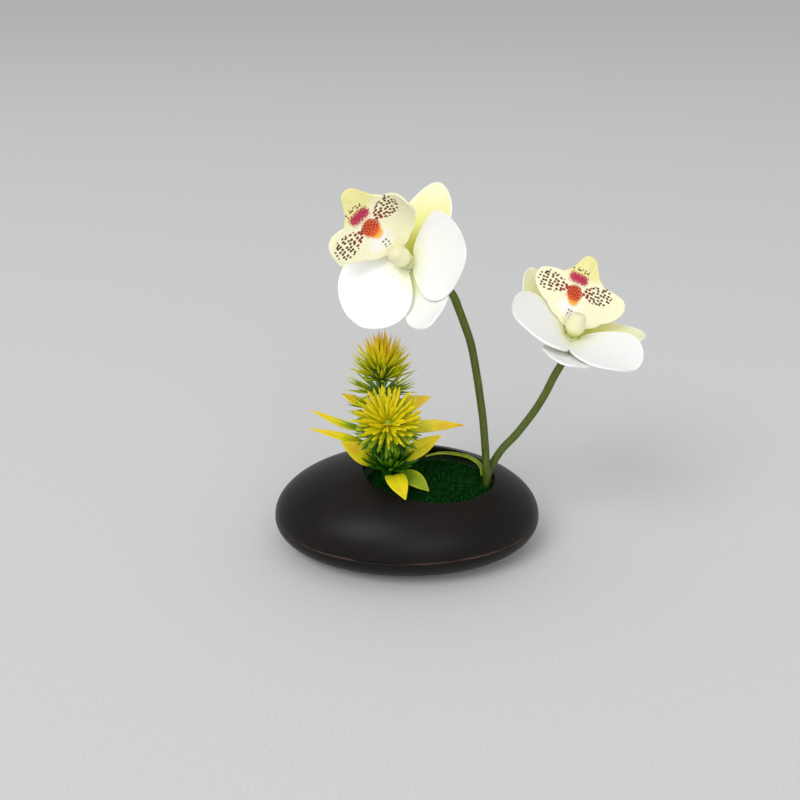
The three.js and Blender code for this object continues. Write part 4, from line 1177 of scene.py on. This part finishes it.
for name, (stem, part, shape, layers) in RINGS.items():
    centre, axis = stem_point(stem, part)
    parts = []
    for count, length, width, thick, rise, curl, base, end in layers:
        points, along, chance = ring_needles(centre, axis, count, length, width, thick, rise, curl,
                                             NEEDLE_START, shape)
        ripe = base + (end - base) * along**0.8 + 0.1 * (chance - 0.5)
        if shape is strap:
            above = np.clip(points[..., 2] - centre[2], RIPE_LOWEST, RIPE_HIGHEST)
            ripe = ripe + RIPE_PER_MM * above
        parts.append((points, ripe))
    points = np.concatenate([p for p, _ in parts])
    ripe = np.concatenate([r for _, r in parts])
    finish, slot = (deep_finish, "needle_green") if name == "straps_cup" else (needle_finish, "needle_yellow")
    piece(f"{name}_moulded", finish, slot, [name], points, ripe=ripe)
    ball = hub_ball(centre, axis, BALL_RADIUS, BALL_TALL)
    piece(f"{name}_hub", finish, slot, [], ball, ripe=np.full(ball.shape[:3], layers[0][6]))
print("needles and straps:", sum(layer[0] for ring in RINGS.values() for layer in ring[3]))

# %% [markdown]
# The broad leaves and the grass blade are flat loops again, carried along their midribs. The section
# folds up a little along the midrib, which carries a fine groove, and the leaf is thinner at its edge
# than at its middle. Parallel veins are pressed into both faces.

# %% Leaf shape
SKYWARDS = (0.1, -0.5, 0.85)
FORWARDS = (0, -0.85, 0.5)
LEAF_ROWS, LEAF_VEINS = 52, 19
leaf_flat, leaf_bulge, leaf_lift = flat_loop(23, 5)


def leaf(points, face, thick, half_width, fold, vein):
    """A flat loop across a route: sideways is square to the route and the way the face looks, the
    fold lifts each point by its distance from the midrib, and veins ripple across the width."""
    path = route(points, LEAF_ROWS)
    ahead = tangents(path)
    sideways = unit(np.cross(ahead, np.array(face, float)))
    normal = np.cross(sideways, ahead)
    length = np.linalg.norm(np.diff(path, axis=0), axis=1).sum()
    along = np.linspace(0, 1, LEAF_ROWS)[:, None]
    closing = rounded_end(along * length, 0.6) * rounded_end((1 - along) * length, 0.9)
    half = half_width(along) * closing
    radius = np.minimum(thick / 2 * closing, half)
    across = leaf_flat * (half - radius) + leaf_bulge * radius
    side = across / np.maximum(half, 1e-6)
    middle = half.max()
    rib = -0.22 * np.exp(-((across / 0.5) ** 2)) * closing
    rise = fold * (np.abs(across) - 0.4 * middle) * closing + rib
    rise = rise + vein * np.cos(side * LEAF_VEINS) * closing * (1 - side**4)
    rise = rise + leaf_lift * radius * (1 - 0.25 * side**2)
    place = path[:, None] + across[..., None] * sideways[:, None] + rise[..., None] * normal[:, None]
    return place, along + 0 * side, side


# %% Leaves in place
LEAVES = [
    ([(-17, 1, 64.4), (-29, -1.5, 66.5), (-49.2, 0, 75.1)], 5, SKYWARDS, 0.2, 0.8),
    ([(-14.2, -2.6, 53), (-30, -8, 62.8), (-49.4, -8, 68.5)], 5.5, SKYWARDS, 0.25, 0.85),
    ([(-13.8, -4.6, 46), (-20, -9, 53), (-33.4, -14, 63.9)], 11, FORWARDS, 0.45, 0.85),
    ([(-17.4, 3.6, 75.6), (-25.7, 3.5, 78.5), (-33.7, 5, 82.3)], 6, SKYWARDS, 0.4, 0.95),
    ([(-8.6, 0.6, 62.6), (10.5, 0, 66.2), (29.6, 2, 65.8)], 7, FORWARDS, 0.3, 0.92),
    ([(-5.2, -7.4, 49), (1.3, -8, 54.1), (17.4, -8, 64.9)], 9, FORWARDS, 0.55, 0.82),
    ([(-11.2, 3.6, 70), (2, 6, 76), (12.5, 8, 79.2)], 9, FORWARDS, 0.4, 0.86),
    ([(-8.4, -11.2, 43), (-6.6, -19, 47), (-0.8, -34.2, 41.9)], 11, SKYWARDS, 0.55, 0.76),
    ([(-6.8, -9, 42), (1, -13, 43.6), (11.2, -22, 40.2)], 10, SKYWARDS, 0.36, 0.43),
]
PETIOLE, LEAF_END, BLADE_START = 0.8, 0.3, 0.12
LEAF_FOOT_FULLNESS, LEAF_TIP_FULLNESS = 0.7, 1.15
MARGIN_RIPE = 0.7
for number, (points, width, face, base, end) in enumerate(LEAVES, 1):
    blade_part = lambda along: np.clip((along - BLADE_START) / (1 - BLADE_START), 0, 1)
    swell = lambda part: np.clip(np.sin(np.pi * part**0.8), 0, 1) ** (
        LEAF_FOOT_FULLNESS + (LEAF_TIP_FULLNESS - LEAF_FOOT_FULLNESS) * part
    )
    half_width = lambda along: (
        PETIOLE + (LEAF_END - PETIOLE) * blade_part(along) + (width / 2 - PETIOLE) * swell(blade_part(along))
    )
    shape, along, side = leaf(points, face, 0.8, half_width, 0.12, 0.05)
    ripe = base + (end - base) * soft(along, 0.05, 0.75)
    ripe = ripe + (MARGIN_RIPE - ripe) * 0.6 * np.abs(side) ** 5
    piece(f"leaf_{number}_moulded", leaf_finish, "leaf_yellow", [f"leaf_{number}"], shape, ripe=ripe)
print("leaves:", len(LEAVES))

# %% Grass blade
GRASS_ROUTE = [(40.2, 1.6, 36), (39.4, 4.6, 40.2), (34.6, 10.4, 42.4), (26.6, 16, 42.2), (18, 18.4, 41.6),
               (9.5, 16.6, 40.6)]
grass_half = lambda along: 1.2 * (1 - 0.7 * along**3)
shape, along, side = leaf(GRASS_ROUTE, SKYWARDS, 0.6, grass_half, 0.1, 0.03)
ripe = 0.33 + 0.1 * along
ripe = ripe + (MARGIN_RIPE - ripe) * 0.8 * np.abs(side) ** 4
piece("grass_blade_moulded", leaf_finish, "leaf_yellow", ["grass_blade"], shape, ripe=ripe)
print("grass blade triangles:", added["grass_blade_moulded"])

# %% [markdown]
# ## Floor and light
#
# A plain pale floor, much larger than the view, and two big soft lights, a strong one high on the left
# and in front and a weaker one lower in front, whose shadows are faint and wide. An even sky lights
# everything else. The picture is shown as it is, without a film curve, so that the white petals stay
# white.

# %% Floor
FLOOR_HALF = 40
floor_finish, tree, shader = new_finish("matt board, pale", IOR=1.5, Roughness=0.8)
place = add(tree, "TexCoord").outputs["Object"]
speckle = add(tree, "TexNoise", {"Vector": place, "Scale": per(1.5), "Detail": 2})
tint = add(tree, "ValToRGB", {"Fac": speckle}, [(0.3, "#d2d2d1"), (0.7, "#d8d8d7")])
feed(tree, shader, {"Base Color": tint})
corners = [(-FLOOR_HALF, -FLOOR_HALF, 0), (FLOOR_HALF, -FLOOR_HALF, 0), (FLOOR_HALF, FLOOR_HALF, 0),
           (-FLOOR_HALF, FLOOR_HALF, 0)]
floor_mesh = bpy.data.meshes.new("floor")
floor_mesh.from_pydata(corners, [], [(0, 1, 2, 3)])
floor_mesh.materials.append(floor_finish)
floor = bpy.data.objects.new("floor", floor_mesh)
bpy.context.scene.collection.objects.link(floor)
floor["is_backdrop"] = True

# %% Light
SKY_COLOUR, SKY_STRENGTH = (0.98, 0.99, 1, 1), 0.62


def soft_light(name, place, size, power, aim=(0.01, 0, 0.08)):
    """A square area light that looks at the arrangement."""
    data = bpy.data.lights.new(name, "AREA")
    data.size = size
    data.energy = power
    made = bpy.data.objects.new(name, data)
    made.location = place
    made.rotation_mode = "QUATERNION"
    direction = made.location.copy()
    direction.x, direction.y, direction.z = (aim[i] - place[i] for i in range(3))
    made.rotation_quaternion = direction.to_track_quat("-Z", "Y")
    bpy.context.scene.collection.objects.link(made)
    return made


soft_light("key", (-2.0, -2.6, 3.4), 2.4, 84)
soft_light("fill", (0.8, -3.6, 1.5), 2.4, 34)
sky = bpy.data.worlds.new("sky")
sky.use_nodes = True
background = sky.node_tree.nodes["Background"]
background.inputs["Color"].default_value = SKY_COLOUR
background.inputs["Strength"].default_value = SKY_STRENGTH
bpy.context.scene.world = sky
bpy.context.scene.view_settings.view_transform = "Standard"
print("lights:", len(bpy.data.lights))

# %% [markdown]
# Last, the sizes.

# %% Sizes and finish
print("triangles added:", sum(added.values()))
size = {"cad": [list(corner) for corner in cad_box], "visual": [list(corner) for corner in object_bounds()]}
